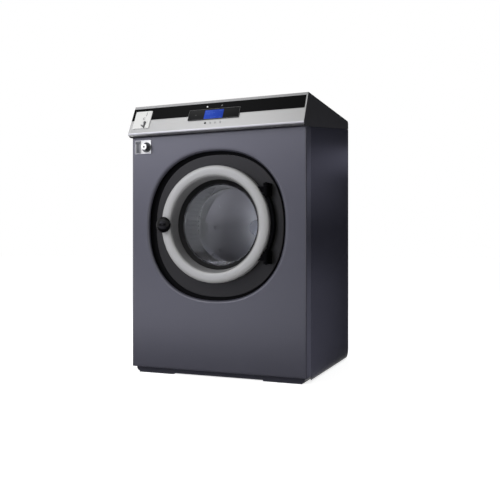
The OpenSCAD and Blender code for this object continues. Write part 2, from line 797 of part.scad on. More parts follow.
module surround_panel() color("#3c3d40") {
  slab(surround_y, surround_y + surround_t) difference() {
    surround_outline(0);
    translate([0, door_z]) circle(mouth_r);
    translate([-slot_x0, door_z - spindle_d / 2 - 5])
      square([slot_x0 - slot_x1, finger_l + spindle_d / 2 + 10]);
  }
  slab(surround_y + surround_t, recess_y) difference() {
    surround_outline(0);
    surround_outline(-3);
  }
}

// Hinge

module lug_pair(z0) {
  translate([hinge_x, hinge_y, z0]) cylinder(r = lug_r, h = fork_h);
  block(hinge_x - lug_r, hinge_x + lug_r, hinge_y, surround_y, z0, z0 + fork_h);
}

module hinge_bracket() color(c_black) {
  difference() {
    ring(band_r + band_w, band_r, yf, surround_y);
    block(-400, 400, yf - 1, surround_y + 1, door_z + lug_z, door_z + 400);
    block(-400, 400, yf - 1, surround_y + 1, door_z - 400, door_z - lug_z);
    block(-400, 0, yf - 1, surround_y + 1, 0, total_h);
  }
  for (s = [-1, 1]) {
    z0 = s > 0 ? door_z + lug_z : door_z - lug_z - lug_h;
    difference() {
      union() {
        lug_pair(z0);
        lug_pair(z0 + lug_h - fork_h);
        block(hinge_x - lug_r, hinge_x + lug_r, hinge_y + 24, surround_y, z0, z0 + lug_h);
      }
      translate([hinge_x, hinge_y, z0 - 1]) cylinder(d = pin_d + 0.04, h = lug_h + 2);
    }
  }
}

module hinge_pins() color(c_zinc) for (s = [-1, 1]) {
  z0 = s > 0 ? door_z + lug_z : door_z - lug_z - lug_h;
  translate([hinge_x, hinge_y, z0 - 3]) cylinder(d = pin_d, h = lug_h + 6);
}

module ear(z0, grow) {
  h = lug_h - 2 * fork_h - 2;
  translate([0, 0, z0 + fork_h + 1 - grow]) linear_extrude(h + 2 * grow)
    translate([ring_in - 20, hinge_y + 6 - grow])
      square([hinge_x - ring_in + 20, 14 + 2 * grow]);
}

module ears(grow) for (s = [-1, 1])
  ear(s > 0 ? door_z + lug_z : door_z - lug_z - lug_h, grow);

// Door

module spindle_hole() rod(-knob_x, door_z, spindle_d / 2 + run, ring_front - 5, frame_y1 + 5);

module door_ring() color("#b3b3b3") difference() {
  mid = (ring_r + ring_in) / 2;
  turned(concat(
    arc(mid + 1, ring_edge, ring_r - mid - 1, ring_edge - ring_front, 0, -90, 9),
    arc(mid - 1, cone_y0 + 1, mid - 1 - ring_in, cone_y0 + 1 - ring_front, -90, -180, 6),
    [[ring_in, frame_y0], [ring_r - skirt, frame_y0], [ring_r - skirt, frame_y1],
      [ring_r, frame_y1]]));
  spindle_hole();
  ears(1);
}

module door_frame() color(c_zinc) {
  difference() {
    union() {
      ring(ring_r - skirt - seat, ring_in, frame_y0, frame_y1);
      difference() {
        ears(0);
        ring(ring_in, 0, yf - 40, frame_y1 + 5);
      }
      for (s = [-1, 1]) translate([hinge_x, hinge_y,
        (s > 0 ? door_z + lug_z : door_z - lug_z - lug_h) + fork_h + 1])
        cylinder(r = lug_r - 2, h = lug_h - 2 * fork_h - 2);
    }
    translate([hinge_x, hinge_y, 0]) cylinder(d = pin_d + 2 * run, h = total_h);
    spindle_hole();
  }
}

cone_t = 2;

module door_cone() color("#4d4d4f") turned([
  [cone_r, cone_y0], [cone_end, gasket_y0 - seat], [cone_end, gasket_y1], [cone_end + cone_t, gasket_y1],
  [cone_end + cone_t, gasket_y0 - 6], [cone_r - 4, frame_y1], [ring_in - seat, frame_y1 - 0.3],
  [ring_in - seat, cone_y0]]);

module glass_gasket() color(c_black) turned([
  [cone_end - seat, gasket_y0], [glass_r, rim_y0 - 1.5], [glass_r, rim_y0 - seat],
  [cone_end - 4, rim_y0 - seat], [cone_end - 4, rim_y1 + seat], [glass_r + 1, rim_y1 + seat],
  [glass_r + 1, gasket_y1 - 1], [cone_end - seat, gasket_y1]]);

module door_glass() color("#9fb0b8") {
  out_r = glass_r + 0.6;
  wall_r = out_r - glass_t;
  end_y = rim_y0 + bowl_deep;
  taper = atan((out_r - bowl_r) / (end_y - bowl_bend - rim_y1 - 8));
  turned(concat(
    [[0, end_y], [bowl_r - bowl_bend, end_y]],
    arc(bowl_r - bowl_bend, end_y - bowl_bend, bowl_bend, bowl_bend, 90, taper, 6),
    [[out_r, rim_y1 + 8], [out_r, rim_y1], [cone_end - 4.4, rim_y1], [cone_end - 4.4, rim_y0],
      [wall_r + 4.9, rim_y0], [wall_r, rim_y1 + 8]],
    arc(bowl_r - bowl_bend, end_y - bowl_bend, bowl_bend - glass_t, bowl_bend - glass_t,
      taper, 90, 6),
    [[0, end_y - glass_t]]));
}

// The knob is a flattened ball, with its back cut flat behind the ring's crest.
knob_y = ring_front - 1.5 - knob_back;
bore_end = knob_y - 6;

module door_knob() color(c_black) {
  half = knob_t / 2;
  turned_at(-knob_x, door_z, concat(
    arc(0, knob_y, knob_d / 2, half, -90, asin(knob_back / half), 14),
    [[spindle_d / 2, knob_y + knob_back], [spindle_d / 2, bore_end], [0, bore_end]]));
}

module latch_spindle() color(c_zinc) {
  rod(-knob_x, door_z, spindle_d / 2, bore_end, finger_y0 + 0.01);
  intersection() {
    rod(-knob_x, door_z, finger_l, finger_y0, finger_y1);
    block(-knob_x - finger_w / 2, -knob_x + finger_w / 2, finger_y0, finger_y1,
      door_z - spindle_d / 2, door_z + finger_l);
  }
}

// Door lock

bolt_d = 8;
bolt_off = 12;
bolt_x = -knob_x - bolt_off;
bolt_z = door_z + bolt_off + 1;
lock_hx = knob_x + 18;
bolt_travel = 11;
guide_l = 12;

module door_lock() color(c_dark) difference() {
  union() {
    block(-lock_hx - 34, -lock_hx, surround_y + surround_t, lock_y + guide_l,
      door_z - 36, door_z + 50);
    block(-lock_hx - 34, -knob_x - 3, lock_y, lock_y + guide_l, door_z - 36, door_z + 50);
  }
  block(-lock_hx - 12, -lock_hx + 1, finger_y0 - 2, finger_y1 + 2,
    door_z - 12, door_z + finger_l + 6);
  rod(bolt_x, bolt_z, bolt_d / 2 + run, lock_y - 1, lock_y + 19);
}

module lock_bolt() color(c_steel) {
  head_y = lock_y + guide_l + bolt_travel + 0.5;
  rod(bolt_x, bolt_z, bolt_d / 2, lock_y + 1, head_y + 2);
  rod(bolt_x, bolt_z, bolt_d / 2 + 1.5, head_y, head_y + 2);
}

// Tub and drum

module mouth_seal() color(c_black) turned([
  [collar_r - 8, frame_y1 + seat], [collar_r - 2.5, frame_y1 + seat],
  [collar_r - 2.5, collar_y - seat], [collar_r + 3, collar_y - seat], [collar_r + 3, collar_y],
  [collar_r, collar_y], [collar_r, collar_y + 22], [collar_r - 9.5, collar_y + 22],
  [collar_r - 9.5, collar_y + 6]]);

module tub_front() color(c_steel) {
  ring(flange_r, collar_r + 3, tub_y0, tub_y0 + tub_t);
  ring(collar_r + 3, collar_r, collar_y, tub_y0 + tub_t);
}

module tub_shell() color(c_steel) {
  difference() {
    union() {
      ring(tub_out, tub_r, tub_y0 + tub_t, tub_y1);
      ring(flange_r, tub_out, tub_y0 + tub_t, tub_y0 + tub_t + 3);
      ring(flange_r, tub_out, tub_y1 - 3, tub_y1);
      difference() {
        translate([0, drain_y, drain_top]) cylinder(r = stub_r, h = 60);
        rod(0, door_z, tub_r + 1, tub_y0, tub_y1);
      }
      difference() {
        translate([outlet_px, outlet_py, door_z]) cylinder(r = supply_d / 2 - 4, h = tub_out);
        rod(0, door_z, tub_r + 1, tub_y0, tub_y1);
      }
    }
    translate([0, drain_y, drain_top - 1]) cylinder(r = stub_r - 3, h = 80);
    translate([outlet_px, outlet_py, door_z + 200]) cylinder(r = supply_d / 2 - 7, h = tub_out);
  }
}

heater_r = (tub_r + drum_r) / 2;
heater_a = [-108, -101, -79, -72];

module tub_back() color(c_steel) difference() {
  ring(flange_r, bearing_r + 1, tub_y1, tub_y1 + tub_t);
  for (a = heater_a) rod(heater_r * cos(a), door_z + heater_r * sin(a), heater_d / 2 + 0.1,
    tub_y1 - 1, tub_y1 + tub_t + 1);
}

module drum_shell() color(c_steel) {
  difference() {
    ring(drum_r, drum_r - drum_t, drum_y0, drum_y1);
    for (i = [0:hole_rows - 1], j = [0:hole_ring - 1])
      translate([0, drum_y0 + drum_d * (i + 1) / (hole_rows + 1), door_z])
        rotate([0, 360 / hole_ring * (j + (i % 2) / 2) + 10, 0])
          translate([0, 0, drum_r - 6]) cylinder(d = hole_d, h = 12, $fn = 24);
  }
  ring(drum_r - drum_t, drum_mouth, drum_y0, drum_y0 + drum_t);
  ring(drum_mouth + 3, drum_mouth, drum_y0 - 6, drum_y0);
}

module drum_back() color(c_zinc) {
  difference() {
    ring(drum_r - drum_t, shaft_r, drum_y1 - 3, drum_y1);
    for (i = [0:11]) let (a = 30 * i)
      rod(drum_r * 0.72 * cos(a), door_z + drum_r * 0.72 * sin(a), 9, drum_y1 - 4, drum_y1 + 1);
  }
  for (i = [0:2]) slab(drum_y1, drum_y1 + 20) translate([0, door_z]) rotate(30 + 120 * i)
    polygon([[shaft_r, -34], [drum_r - 12, -16], [drum_r - 12, 16], [shaft_r, 34]]);
  ring(56, shaft_r, drum_y1, drum_y1 + 20);
}

module drum_lifters() color(c_steel) slab(drum_y0 + 20, drum_y1 - 20) translate([0, door_z])
  for (i = [0:lifters - 1]) rotate(90 + 360 / lifters * i) intersection() {
    circle(drum_r - drum_t - seat);
    union() {
      polygon([[drum_r - lifter_h + 14, -15], [drum_r, -44], [drum_r, 44], [drum_r - lifter_h + 14, 15]]);
      translate([drum_r - lifter_h + 17, 0]) circle(17);
    }
  }

module drum_shaft() color(c_zinc) {
  rod(0, door_z, shaft_r - 0.02, drum_y1 - 3, pulley_y1 + 6);
  rod(0, door_z, shaft_r + 12, drum_y1 - 15, drum_y1 - 3);
}

module bearing_housing() color("#4a5560") difference() {
  union() {
    ring(hub_r, 0, housing_y0, housing_y1);
    ring(150, 0, housing_y0, housing_y0 + 8);
    for (sx = [-1, 1]) {
      slab(leg_y0, leg_y1) polygon([[sx * 20, door_z - 48], [sx * (hub_r - 4), door_z + 8],
        [sx * (foot_x + 26), rail_top + 10], [sx * (foot_x - 26), rail_top + 10]]);
      block(min(sx * (foot_x - 40), sx * (foot_x + 40)), max(sx * (foot_x - 40), sx * (foot_x + 40)),
        leg_y0, leg_y1, rail_top, rail_top + 10);
    }
  }
  rod(0, door_z, bearing_r - 5, housing_y0 - 1, housing_y1 + 1);
  rod(0, door_z, bearing_r + 0.02, housing_y0 - 1, housing_y0 + 12 + bearing_w);
  rod(0, door_z, bearing_r + 0.02, housing_y1 - bearing_w - 2, housing_y1 + 1);
}

module shaft_bearings() color(c_zinc) {
  for (y = [housing_y0 + 12, housing_y1 - bearing_w - 2]) {
    ring(bearing_r, bearing_r - 7, y, y + bearing_w);
    ring(shaft_r + 7, shaft_r + run, y, y + bearing_w);
    ring(bearing_r - 7, shaft_r + 7, y + 3, y + bearing_w - 3);
  }
}

module shaft_seal() color(c_black)
  ring(bearing_r, shaft_r + 0.05, housing_y0 + 2, housing_y0 + 11.5);

// Drive

module drum_pulley() color(c_zinc) difference() {
  union() {
    ring(pulley_d / 2, pulley_d / 2 - 9, pulley_y0, pulley_y1);
    ring(pulley_d / 2 - 5, 0, pulley_y0 + 10, pulley_y0 + 17);
    ring(shaft_r + 16, 0, pulley_y0 - 3, pulley_y1);
  }
  rod(0, door_z, shaft_r, pulley_y0 - 10, pulley_y1 + 10);
  for (i = [0:4]) let (a = 90 + 72 * i, r = pulley_d * 0.29)
    rod(r * cos(a), door_z + r * sin(a), pulley_d * 0.11, pulley_y0, pulley_y1);
}

// The belt's way round both pulleys, as short flats.
module belt_loop(grow, y0, y1) {
  big = pulley_d / 2 + grow;
  small = small_pulley_d / 2 + grow;
  d = door_z - motor_z;
  b = -asin((big - small) / d);
  slab(y0, y1) translate([0, door_z]) polygon(concat(
    arc(0, 0, big, big, b, 180 - b, 60),
    arc(0, -d, small, small, 180 - b, 360 + b, 30)));
}

// The flats dip 0.11 below their circle, so the belt starts a little outside the pulleys.
belt_clear = 0.15;

module drive_belt() color(c_black) difference() {
  belt_loop(belt_clear + belt_t, belt_y0, belt_y0 + belt_w);
  belt_loop(belt_clear, belt_y0 - 1, belt_y0 + belt_w + 1);
}

motor_shaft = 24;

module motor() color("#3f4a55") {
  difference() {
    union() {
      rod(0, motor_z, motor_d / 2 - 6, motor_y0, motor_y1);
      for (i = [0:11]) rotate_about_motor(30 * i)
        block(-2.5, 2.5, motor_y0 + 30, motor_y1 - 30, motor_d / 2 - 8, motor_d / 2);
      for (y = [motor_y0, motor_y1 - 22]) rod(0, motor_z, motor_d / 2 - 2, y, y + 22);
    }
    block(-200, 200, motor_y0 - 1, motor_y1 + 1, 0, rail_top + 8);
  }
  for (sx = [-1, 1]) for (y = [motor_y0 + 20, leg_y0])
    block(min(sx * 40, sx * 76), max(sx * 40, sx * 76), y, y + 30, rail_top, motor_z - 50);
  ring_at_motor(motor_shaft / 2 + 8, motor_shaft / 2 + run, motor_y1, motor_y1 + 5);
  block(-45, 45, motor_y0 + 60, motor_y0 + 150, motor_z + motor_d / 2 - 12, motor_z + motor_d / 2 + 22);
}

module rotate_about_motor(a) translate([0, 0, motor_z]) rotate([0, a, 0]) children();

module ring_at_motor(r_out, r_in, y0, y1) slab(y0, y1) translate([0, motor_z]) difference() {
  circle(r_out);
  circle(r_in);
}

module motor_pulley() color(c_zinc) {
  rod(0, motor_z, small_pulley_d / 2, pulley_y0, pulley_y1 - 2);
  rod(0, motor_z, motor_shaft / 2, motor_y1 + seat, pulley_y1 + 3);
}

// Water

module drain_valve() color("#e3e0d6") difference() {
  union() {
    translate([0, drain_y, valve_low]) cylinder(r = valve_r, h = drain_top - valve_low + 14);
    translate([0, drain_y, ball_z]) rotate([0, 90, 0]) cylinder(r = 14, h = valve_r + 14);
    block(valve_r + 14, valve_r + 74, drain_y - 30, drain_y + 30, ball_z - 26, ball_z + 26);
  }
  translate([0, drain_y, valve_low - 1]) cylinder(d = ball_bore, h = drain_top);
  translate([0, drain_y, drain_top]) cylinder(r = stub_r + 0.3, h = 20);
  translate([0, drain_y, ball_z]) sphere(d = ball_d + 0.6);
  translate([0, drain_y, ball_z]) rotate([0, 90, 0]) cylinder(d = 12 + 2 * run, h = valve_r + 30);
  translate([0, drain_y, valve_low - 1]) cylinder(r = pipe_r + 0.3, h = 13);
}

module drain_ball() color(c_steel) translate([0, drain_y, ball_z]) difference() {
  union() {
    sphere(d = ball_d);
    rotate([0, 90, 0]) cylinder(d = 12, h = valve_r + 28);
  }
  translate([0, 0, -ball_d]) cylinder(d = ball_bore, h = 2 * ball_d);
}

module pipe_section() difference() {
  circle(pipe_r);
  circle(pipe_r - pipe_t);
}

module drain_pipe() color("#8b8d90") {
  translate([0, drain_y, pipe_z + elbow_r]) linear_extrude(valve_low + 12 - pipe_z - elbow_r)
    pipe_section();
  translate([-elbow_r, drain_y, pipe_z + elbow_r]) rotate([-90, 0, 0])
    rotate_extrude(angle = 90) translate([elbow_r, 0]) pipe_section();
  translate([-elbow_r, drain_y, pipe_z]) rotate([0, -90, 0])
    linear_extrude(outlet_x - 2 * elbow_r) pipe_section();
  translate([-outlet_x + elbow_r, drain_y + elbow_r, pipe_z]) rotate([0, 0, 180])
    rotate_extrude(angle = 90) translate([elbow_r, 0]) pipe_section();
  translate([-outlet_x, drain_y + elbow_r, pipe_z]) rotate([-90, 0, 0])
    linear_extrude(yr + outlet_out - drain_y - elbow_r) pipe_section();
}

module heaters() color(c_zinc) {
  front = tub_y0 + 60;
  for (a = heater_a) {
    rod(heater_r * cos(a), door_z + heater_r * sin(a), heater_d / 2, front, tub_y1 + 30);
    translate([heater_r * cos(a), front, door_z + heater_r * sin(a)]) sphere(d = heater_d);
    rod(heater_r * cos(a), door_z + heater_r * sin(a), heater_d / 2 + 5, tub_y1 + tub_t, tub_y1 + 18);
  }
  for (i = [0, 2]) {
    a = (heater_a[i] + heater_a[i + 1]) / 2;
    half = (heater_a[i + 1] - heater_a[i]) / 2;
    w = 2 * heater_r * sin(half);
    translate([heater_r * cos(a) * cos(half), front, door_z + heater_r * sin(a) * cos(half)])
      rotate([0, -a, 0]) translate([0, 0, -w / 2]) cylinder(d = heater_d, h = w);
  }
}

nozzle_d = 14;

module inlet_valves() color(c_white) difference() {
  for (i = [0, 1]) translate([inlet_x + i * inlet_gap, 0, inlet_z]) {
    rod(0, 0, inlet_d / 2, yr - 45, yr + outlet_out - 4);
    rod(0, 0, inlet_d / 2 + 5, yr - sheet - 8, yr - sheet);
    block(-20, 20, yr - 60, yr - 30, -20, 34);
    rod(0, 0, nozzle_d / 2, supply_y0 + supply_l - supply_t - 1, yr - 50);
  }
  for (i = [0, 1]) rod(inlet_x + i * inlet_gap, inlet_z, inlet_d / 2 - 3.5, yr - 20, yr + outlet_out);
}

module supply_box() color(c_dark) difference() {
  union() {
    block(supply_x0, supply_x0 + supply_w, supply_y0, supply_y0 + supply_l, supply_z0, supply_z1);
    translate([outlet_px, outlet_py, supply_z0 - 30]) cylinder(d = supply_d - 7, h = 31);
  }
  for (i = [0:2]) let (w = (supply_w - 4 * supply_t) / 3)
    block(supply_x0 + supply_t + i * (w + supply_t), supply_x0 + supply_t + i * (w + supply_t) + w,
      supply_y0 + supply_t, supply_y0 + supply_l - supply_t, supply_z0 + 20, supply_z1 + 1);
  block(supply_x0 + supply_t, supply_x0 + supply_w - supply_t,
    supply_y0 + supply_t, supply_y0 + supply_l - supply_t, supply_z0 + supply_t, supply_z0 + 17);
  for (i = [0:2]) let (w = (supply_w - 4 * supply_t) / 3)
    translate([supply_x0 + supply_t + (i + 0.5) * w, supply_y0 + 30, supply_z0 + 10])
      cylinder(d = 16, h = 20);
  translate([outlet_px, outlet_py, supply_z0 - 31]) cylinder(d = supply_d - 14, h = 40);
  for (i = [0, 1]) rod(inlet_x + i * inlet_gap, inlet_z, nozzle_d / 2 + 0.05,
    supply_y0 + supply_l - supply_t - 2, supply_y0 + supply_l + 1);
}

module supply_lid() color(c_dark) {
  translate([0, 0, total_h + seat]) linear_extrude(4)
    rounded(supply_x0 - 2, supply_x0 + supply_w + 2, supply_y0 - 4, supply_y0 + supply_l, 8);
  for (x = lid_hinges) difference() {
    union() {
      translate([x, lid_y, lid_z]) rotate([0, 90, 0]) cylinder(r = 4, h = lid_barrel);
      block(x, x + lid_barrel, lid_y - 16, lid_y, lid_z - 3, lid_z + 1);
    }
    translate([x - 1, lid_y, lid_z]) rotate([0, 90, 0])
      cylinder(d = lid_pin + 2 * run, h = lid_barrel + 2);
  }
}

module supply_hose() color(c_black) {
  low = door_z + tub_out - 12;
  translate([outlet_px, outlet_py, low]) linear_extrude(supply_z0 - seat - low) difference() {
    circle(d = supply_d);
    circle(d = supply_d - 6.4);
  }
}

module inverter_box() color(c_zinc) {
  x1 = hw - sheet - seat;
  block(x1 - 150, x1, -40, 250, panel_top - 96, panel_top + 20);
  for (i = [0:9]) block(x1 - 158, x1 - 150, -30 + 28 * i, -26 + 28 * i, panel_top - 70, panel_top + 10);
}

base_frame();
front_panel();
side_panel_left();
side_panel_right();
rear_panel();
rear_access_cover();
top_cover();
console_fascia();
fascia_strip();
control_bezel();
display_screen();
control_board();
indicator_lamps();
key_1();
key_2();
key_3();
key_4();
coin_plate();
coin_return_lever();
coin_acceptor();
coin_vault();
coin_box();
coin_lock();
mouth_recess();
surround_panel();
hinge_bracket();
hinge_pins();
door_ring();
door_frame();
door_cone();
glass_gasket();
door_glass();
door_knob();
latch_spindle();
door_lock();
lock_bolt();
mouth_seal();
tub_shell();
tub_front();
tub_back();
drum_shell();
drum_back();
drum_lifters();
drum_shaft();
bearing_housing();
shaft_bearings();
shaft_seal();
drum_pulley();
drive_belt();
motor();
motor_pulley();
drain_valve();
drain_ball();
drain_pipe();
heaters();
inlet_valves();
supply_box();
supply_lid();
supply_hose();
inverter_box();
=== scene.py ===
# %% [markdown]
# # A coin-operated washing machine
#
# The machine is built around a frame that was packed from its construction
# model. Most hidden parts, from the tub to the drain valve, come from there and
# only get a finish. The parts that the eye rests on are made again here with
# smooth curves: the painted front with its rolled opening, the steel console,
# the door with its ring, cone and glass, and the perforated drum.

import json
import math

import bmesh
import bpy
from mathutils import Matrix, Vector


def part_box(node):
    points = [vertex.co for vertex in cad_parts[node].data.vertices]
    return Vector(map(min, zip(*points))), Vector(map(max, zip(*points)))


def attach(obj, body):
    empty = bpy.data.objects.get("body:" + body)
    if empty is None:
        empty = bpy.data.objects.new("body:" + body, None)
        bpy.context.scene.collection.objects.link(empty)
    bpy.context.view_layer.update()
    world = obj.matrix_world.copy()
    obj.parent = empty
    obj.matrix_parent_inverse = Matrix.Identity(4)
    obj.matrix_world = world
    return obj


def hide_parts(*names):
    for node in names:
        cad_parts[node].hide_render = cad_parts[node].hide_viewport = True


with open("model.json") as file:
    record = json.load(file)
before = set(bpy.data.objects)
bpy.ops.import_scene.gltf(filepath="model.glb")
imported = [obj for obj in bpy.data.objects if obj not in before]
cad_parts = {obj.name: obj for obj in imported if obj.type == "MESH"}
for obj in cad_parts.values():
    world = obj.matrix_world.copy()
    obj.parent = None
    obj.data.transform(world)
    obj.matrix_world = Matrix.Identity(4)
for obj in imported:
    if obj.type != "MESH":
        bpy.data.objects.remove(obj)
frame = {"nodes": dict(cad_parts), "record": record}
bpy.context.scene.view_settings.view_transform = "Standard"
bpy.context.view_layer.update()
cad = frame["nodes"]

# %% [markdown]
# ## Measures
#
# Lengths of the machine are in millimetres, as a workshop drawing has them, and
# turn to metres only where a mesh, a bevel or a relief is made. X points right, Y
# to the back and Z up. The places that the whole machine hangs on come straight
# from the frame, so the dressed parts and the construction parts can't drift apart.

# %% Measures that the frame gives
MM = 0.001


def corner(node, end, axis):
    """One side of a construction part's box: end 0 is the low side, 1 the high."""
    return round(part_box(node)[end]["xyz".index(axis)] / MM, 3)


# The gap between the front panel and the console above it
SEAM = 0.4

HALF_W = corner("front_panel", 1, "x")
FRONT = corner("front_panel", 0, "y")
PANEL_LOW = corner("front_panel", 0, "z")
DOOR_Z = (corner("door_ring", 0, "z") + corner("door_ring", 1, "z")) / 2
TOTAL_H = corner("console_fascia", 1, "z")
PANEL_TOP = corner("console_fascia", 0, "z") - SEAM
print("panel", 2 * HALF_W, "wide, face at", FRONT, "door centre at", DOOR_Z)

# %% [markdown] ## A small kit for shapes  Nearly every formed part of this
# machine is one of two things: a profile turned round an axis, as the door ring
# is, or a sheet that passes through a row of outlines, as the front panel does.

# %% Points on curves
def arc(cx, cy, rx, ry, start, end, steps):
    """Points along part of an ellipse, in degrees from its centre."""
    turn = [math.radians(start + (end - start) * i / steps) for i in range(steps + 1)]
    return [(cx + rx * math.cos(a), cy + ry * math.sin(a)) for a in turn]


def around(steps):
    """Angles once round a circle."""
    return [2 * math.pi * i / steps for i in range(steps)]


def quarter(steps):
    """Angles from 0 to a right angle, both ends included."""
    return [math.radians(90 * i / steps) for i in range(steps + 1)]


print("a quarter in 3 steps:", [round(math.degrees(a)) for a in quarter(3)])

# %% Skins through rows of points
def skin(rows, tube=False, caps=False):
    """Points and faces through closed rows; a tube joins its last row to its first."""
    wide = len(rows[0])
    points = [p for row in rows for p in row]
    faces = []
    for i in range(len(rows) if tube else len(rows) - 1):
        a, b = i * wide, (i + 1) % len(rows) * wide
        for j in range(wide):
            k = (j + 1) % wide
            faces.append((a + j, a + k, b + k, b + j))
    if caps:
        faces.append(tuple(range(wide)))
        faces.append(tuple(len(points) - wide + j for j in range(wide)))
    return points, faces


def door_axis(u, v, along):
    """A point beside the door's axis: along is its Y."""
    return (u, along, DOOR_Z + v)


def turned(profile, place=door_axis, steps=160):
    """A closed profile of (radius, along) points, turned round an axis."""
    turns = around(steps)
    rows = [[place(r * math.cos(a), r * math.sin(a), y) for a in turns] for r, y in profile]
    return skin(rows, tube=True)


def join(*shapes):
    """Several shapes as one list of points and faces."""
    points, faces = [], []
    for more_points, more_faces in shapes:
        start = len(points)
        points += more_points
        faces += [tuple(start + i for i in face) for face in more_faces]
    return points, faces


washer = turned([(10, 0), (20, 0), (20, 3), (10, 3)], steps=12)
print("a plain washer has", len(washer[0]), "points and", len(washer[1]), "faces")

# %% [markdown]
# ## Bends and folds
#
# Sheet metal shows two kinds of edge: a bend, which shades smoothly from one face
# to the next, and a fold or a cut, which stays a crisp line. The angle between two
# faces tells them apart, so it is measured at each edge and needs no marks by hand.
# A fold still isn't a knife edge, and a narrow bevel gives it the small round that
# catches the light.

# %% Smooth bends and crisp folds
FOLD = math.radians(38)
WELD = 0.005
SPECK = 0.002


def shade_bends(mesh):
    """Joins points closer than WELD and drops specks; folds sharper than FOLD stay crisp."""
    form = bmesh.new()
    form.from_mesh(mesh)
    bmesh.ops.remove_doubles(form, verts=form.verts, dist=WELD * MM)
    bmesh.ops.dissolve_degenerate(form, edges=form.edges, dist=SPECK * MM)
    bmesh.ops.recalc_face_normals(form, faces=form.faces)
    for face in form.faces:
        face.smooth = True
    for edge in form.edges:
        edge.smooth = len(edge.link_faces) == 2 and edge.calc_face_angle(0) < FOLD
    form.to_mesh(mesh)
    form.free()


def soften(made, width):
    """A small round on every sharp edge, as paint and tooling leave it."""
    round_edge = made.modifiers.new("edge", "BEVEL")
    round_edge.width = width * MM
    round_edge.segments = 2
    round_edge.limit_method = "ANGLE"
    round_edge.angle_limit = math.radians(50)
    round_edge.use_clamp_overlap = True


print("edges fold sharp from", round(math.degrees(FOLD)), "degrees")

# %% [markdown]
# ## Pieces that ride on bodies
#
# A real machine is put together from parts, and each part here is a mesh of its
# own. It rides on the body that carries it, so the door's parts swing with the
# door. It takes the finish of its slot, which is the kind of material, unless it
# is given a finish of its own, and it hides the construction parts whose place it
# takes. One function does all of that, so no step is missed.

# %% Pieces
finishes = {}


def to_scene(made):
    """Puts a new object into the scene."""
    bpy.context.scene.collection.objects.link(made)
    return made


def piece(name, body, slot, shape, replaces=(), bevel=0.0, finish=None):
    """A mesh piece in a slot's finish, or in a finish of its own, that rides on a body."""
    points, faces = shape
    mesh = bpy.data.meshes.new(name)
    mesh.from_pydata([Vector(p) * MM for p in points], [], faces)
    shade_bends(mesh)
    mesh.materials.append(finishes[finish or slot])
    made = to_scene(bpy.data.objects.new(name, mesh))
    if bevel:
        soften(made, bevel)
    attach(made, body)
    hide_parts(*replaces)
    print(f"{name}: {len(mesh.vertices)} points, {len(mesh.polygons)} faces")


# %% [markdown]
# ## A small kit for finishes
#
# A finish is a recipe of noise and masks that ends in one Principled shader. It
# could be wired by hand in the shader editor, but then nobody can read it back. So
# Link wraps the output of a node and lets ordinary arithmetic work on it:
# `mask * 0.3 + 0.5` adds two Math nodes. Every other node comes from Recipe.node,
# which sets the node's own settings first and then feeds its sockets with values
# or with Links.

# %% Node maths as Python expressions
class Link:
    """The output of a node. Arithmetic on it adds Math nodes to its recipe."""

    def __init__(self, recipe, socket):
        self.recipe = recipe
        self.socket = socket

    def math(self, operation, *values):
        return self.recipe.node("Math", {"operation": operation}, dict(enumerate(values)))

    def __add__(self, other):
        return self.math("ADD", self, other)

    def __sub__(self, other):
        return self.math("SUBTRACT", self, other)

    def __rsub__(self, other):
        return self.math("SUBTRACT", other, self)

    def __mul__(self, other):
        return self.math("MULTIPLY", self, other)

    __radd__ = __add__
    __rmul__ = __mul__


print("Link knows", [name for name in vars(Link) if name.startswith("__r")], "for 1 - mask")

# %% Recipes of nodes
class Recipe:
    """The node tree of a finish, of the world or of the floor."""

    def __init__(self, owner):
        owner.use_nodes = True
        self.tree = owner.node_tree
        self.tree.nodes.clear()

    def node(self, kind, settings=None, values=None, out=0):
        """A new node with its settings, then what its sockets hold; out picks the output."""
        made = self.tree.nodes.new("ShaderNode" + kind)
        for name, value in (settings or {}).items():
            setattr(made, name, value)
        for name, value in (values or {}).items():
            self.feed(made.inputs[name], value)
        return Link(self, made.outputs[out]) if len(made.outputs) else made

    def feed(self, socket, value):
        if isinstance(value, Link):
            self.tree.links.new(value.socket, socket)
        else:
            socket.default_value = value

    def mix(self, mask, low, high):
        """low where the mask is 0, high where it is 1, for colours."""
        return self.node("Mix", {"data_type": "RGBA"}, {0: mask, 6: low, 7: high}, out=2)

    def clamp(self, value):
        """The value, kept between 0 and 1."""
        return self.node("Clamp", None, {"Value": value, "Min": 0.0, "Max": 1.0})


print("a Recipe can", [name for name in vars(Recipe) if not name.startswith("_")])

# %% [markdown]
# ## Colours
#
# A colour is easiest to read off a screen, as three numbers up to 255, but a
# shader works in linear light, where twice the number is twice the light. So each
# colour is given as seen and turned to linear light once, by the screen's own curve.

# %% Colours as a screen gives them
def linear(part):
    """One part of a colour, 0 to 255, in linear light."""
    seen_as = part / 255
    return seen_as / 12.92 if seen_as <= 0.04045 else ((seen_as + 0.055) / 1.055) ** 2.4


def rgb(red, green, blue):
    """A colour as a screen gives it, in the linear numbers of a shader."""
    return (linear(red), linear(green), linear(blue), 1.0)


def shade(colour, factor):
    """The same colour, lighter or darker."""
    return (*[min(1.0, c * factor) for c in colour[:3]], 1.0)


print("mid grey 128 is", round(rgb(128, 128, 128)[0], 3), "in linear light")

# %% [markdown]
# ## Wear and grain
#
# No finish is the same all over. Noise makes it wander, and its lumps are given in
# millimetres, as they would be measured on the part. The noise sits in the piece's
# own coordinates, so the grain stays on the door when the door swings.

# %% Noise and relief
def place_on(recipe):
    """The place of a point in its piece's own coordinates, in metres."""
    return recipe.node("TexCoord", out="Object")


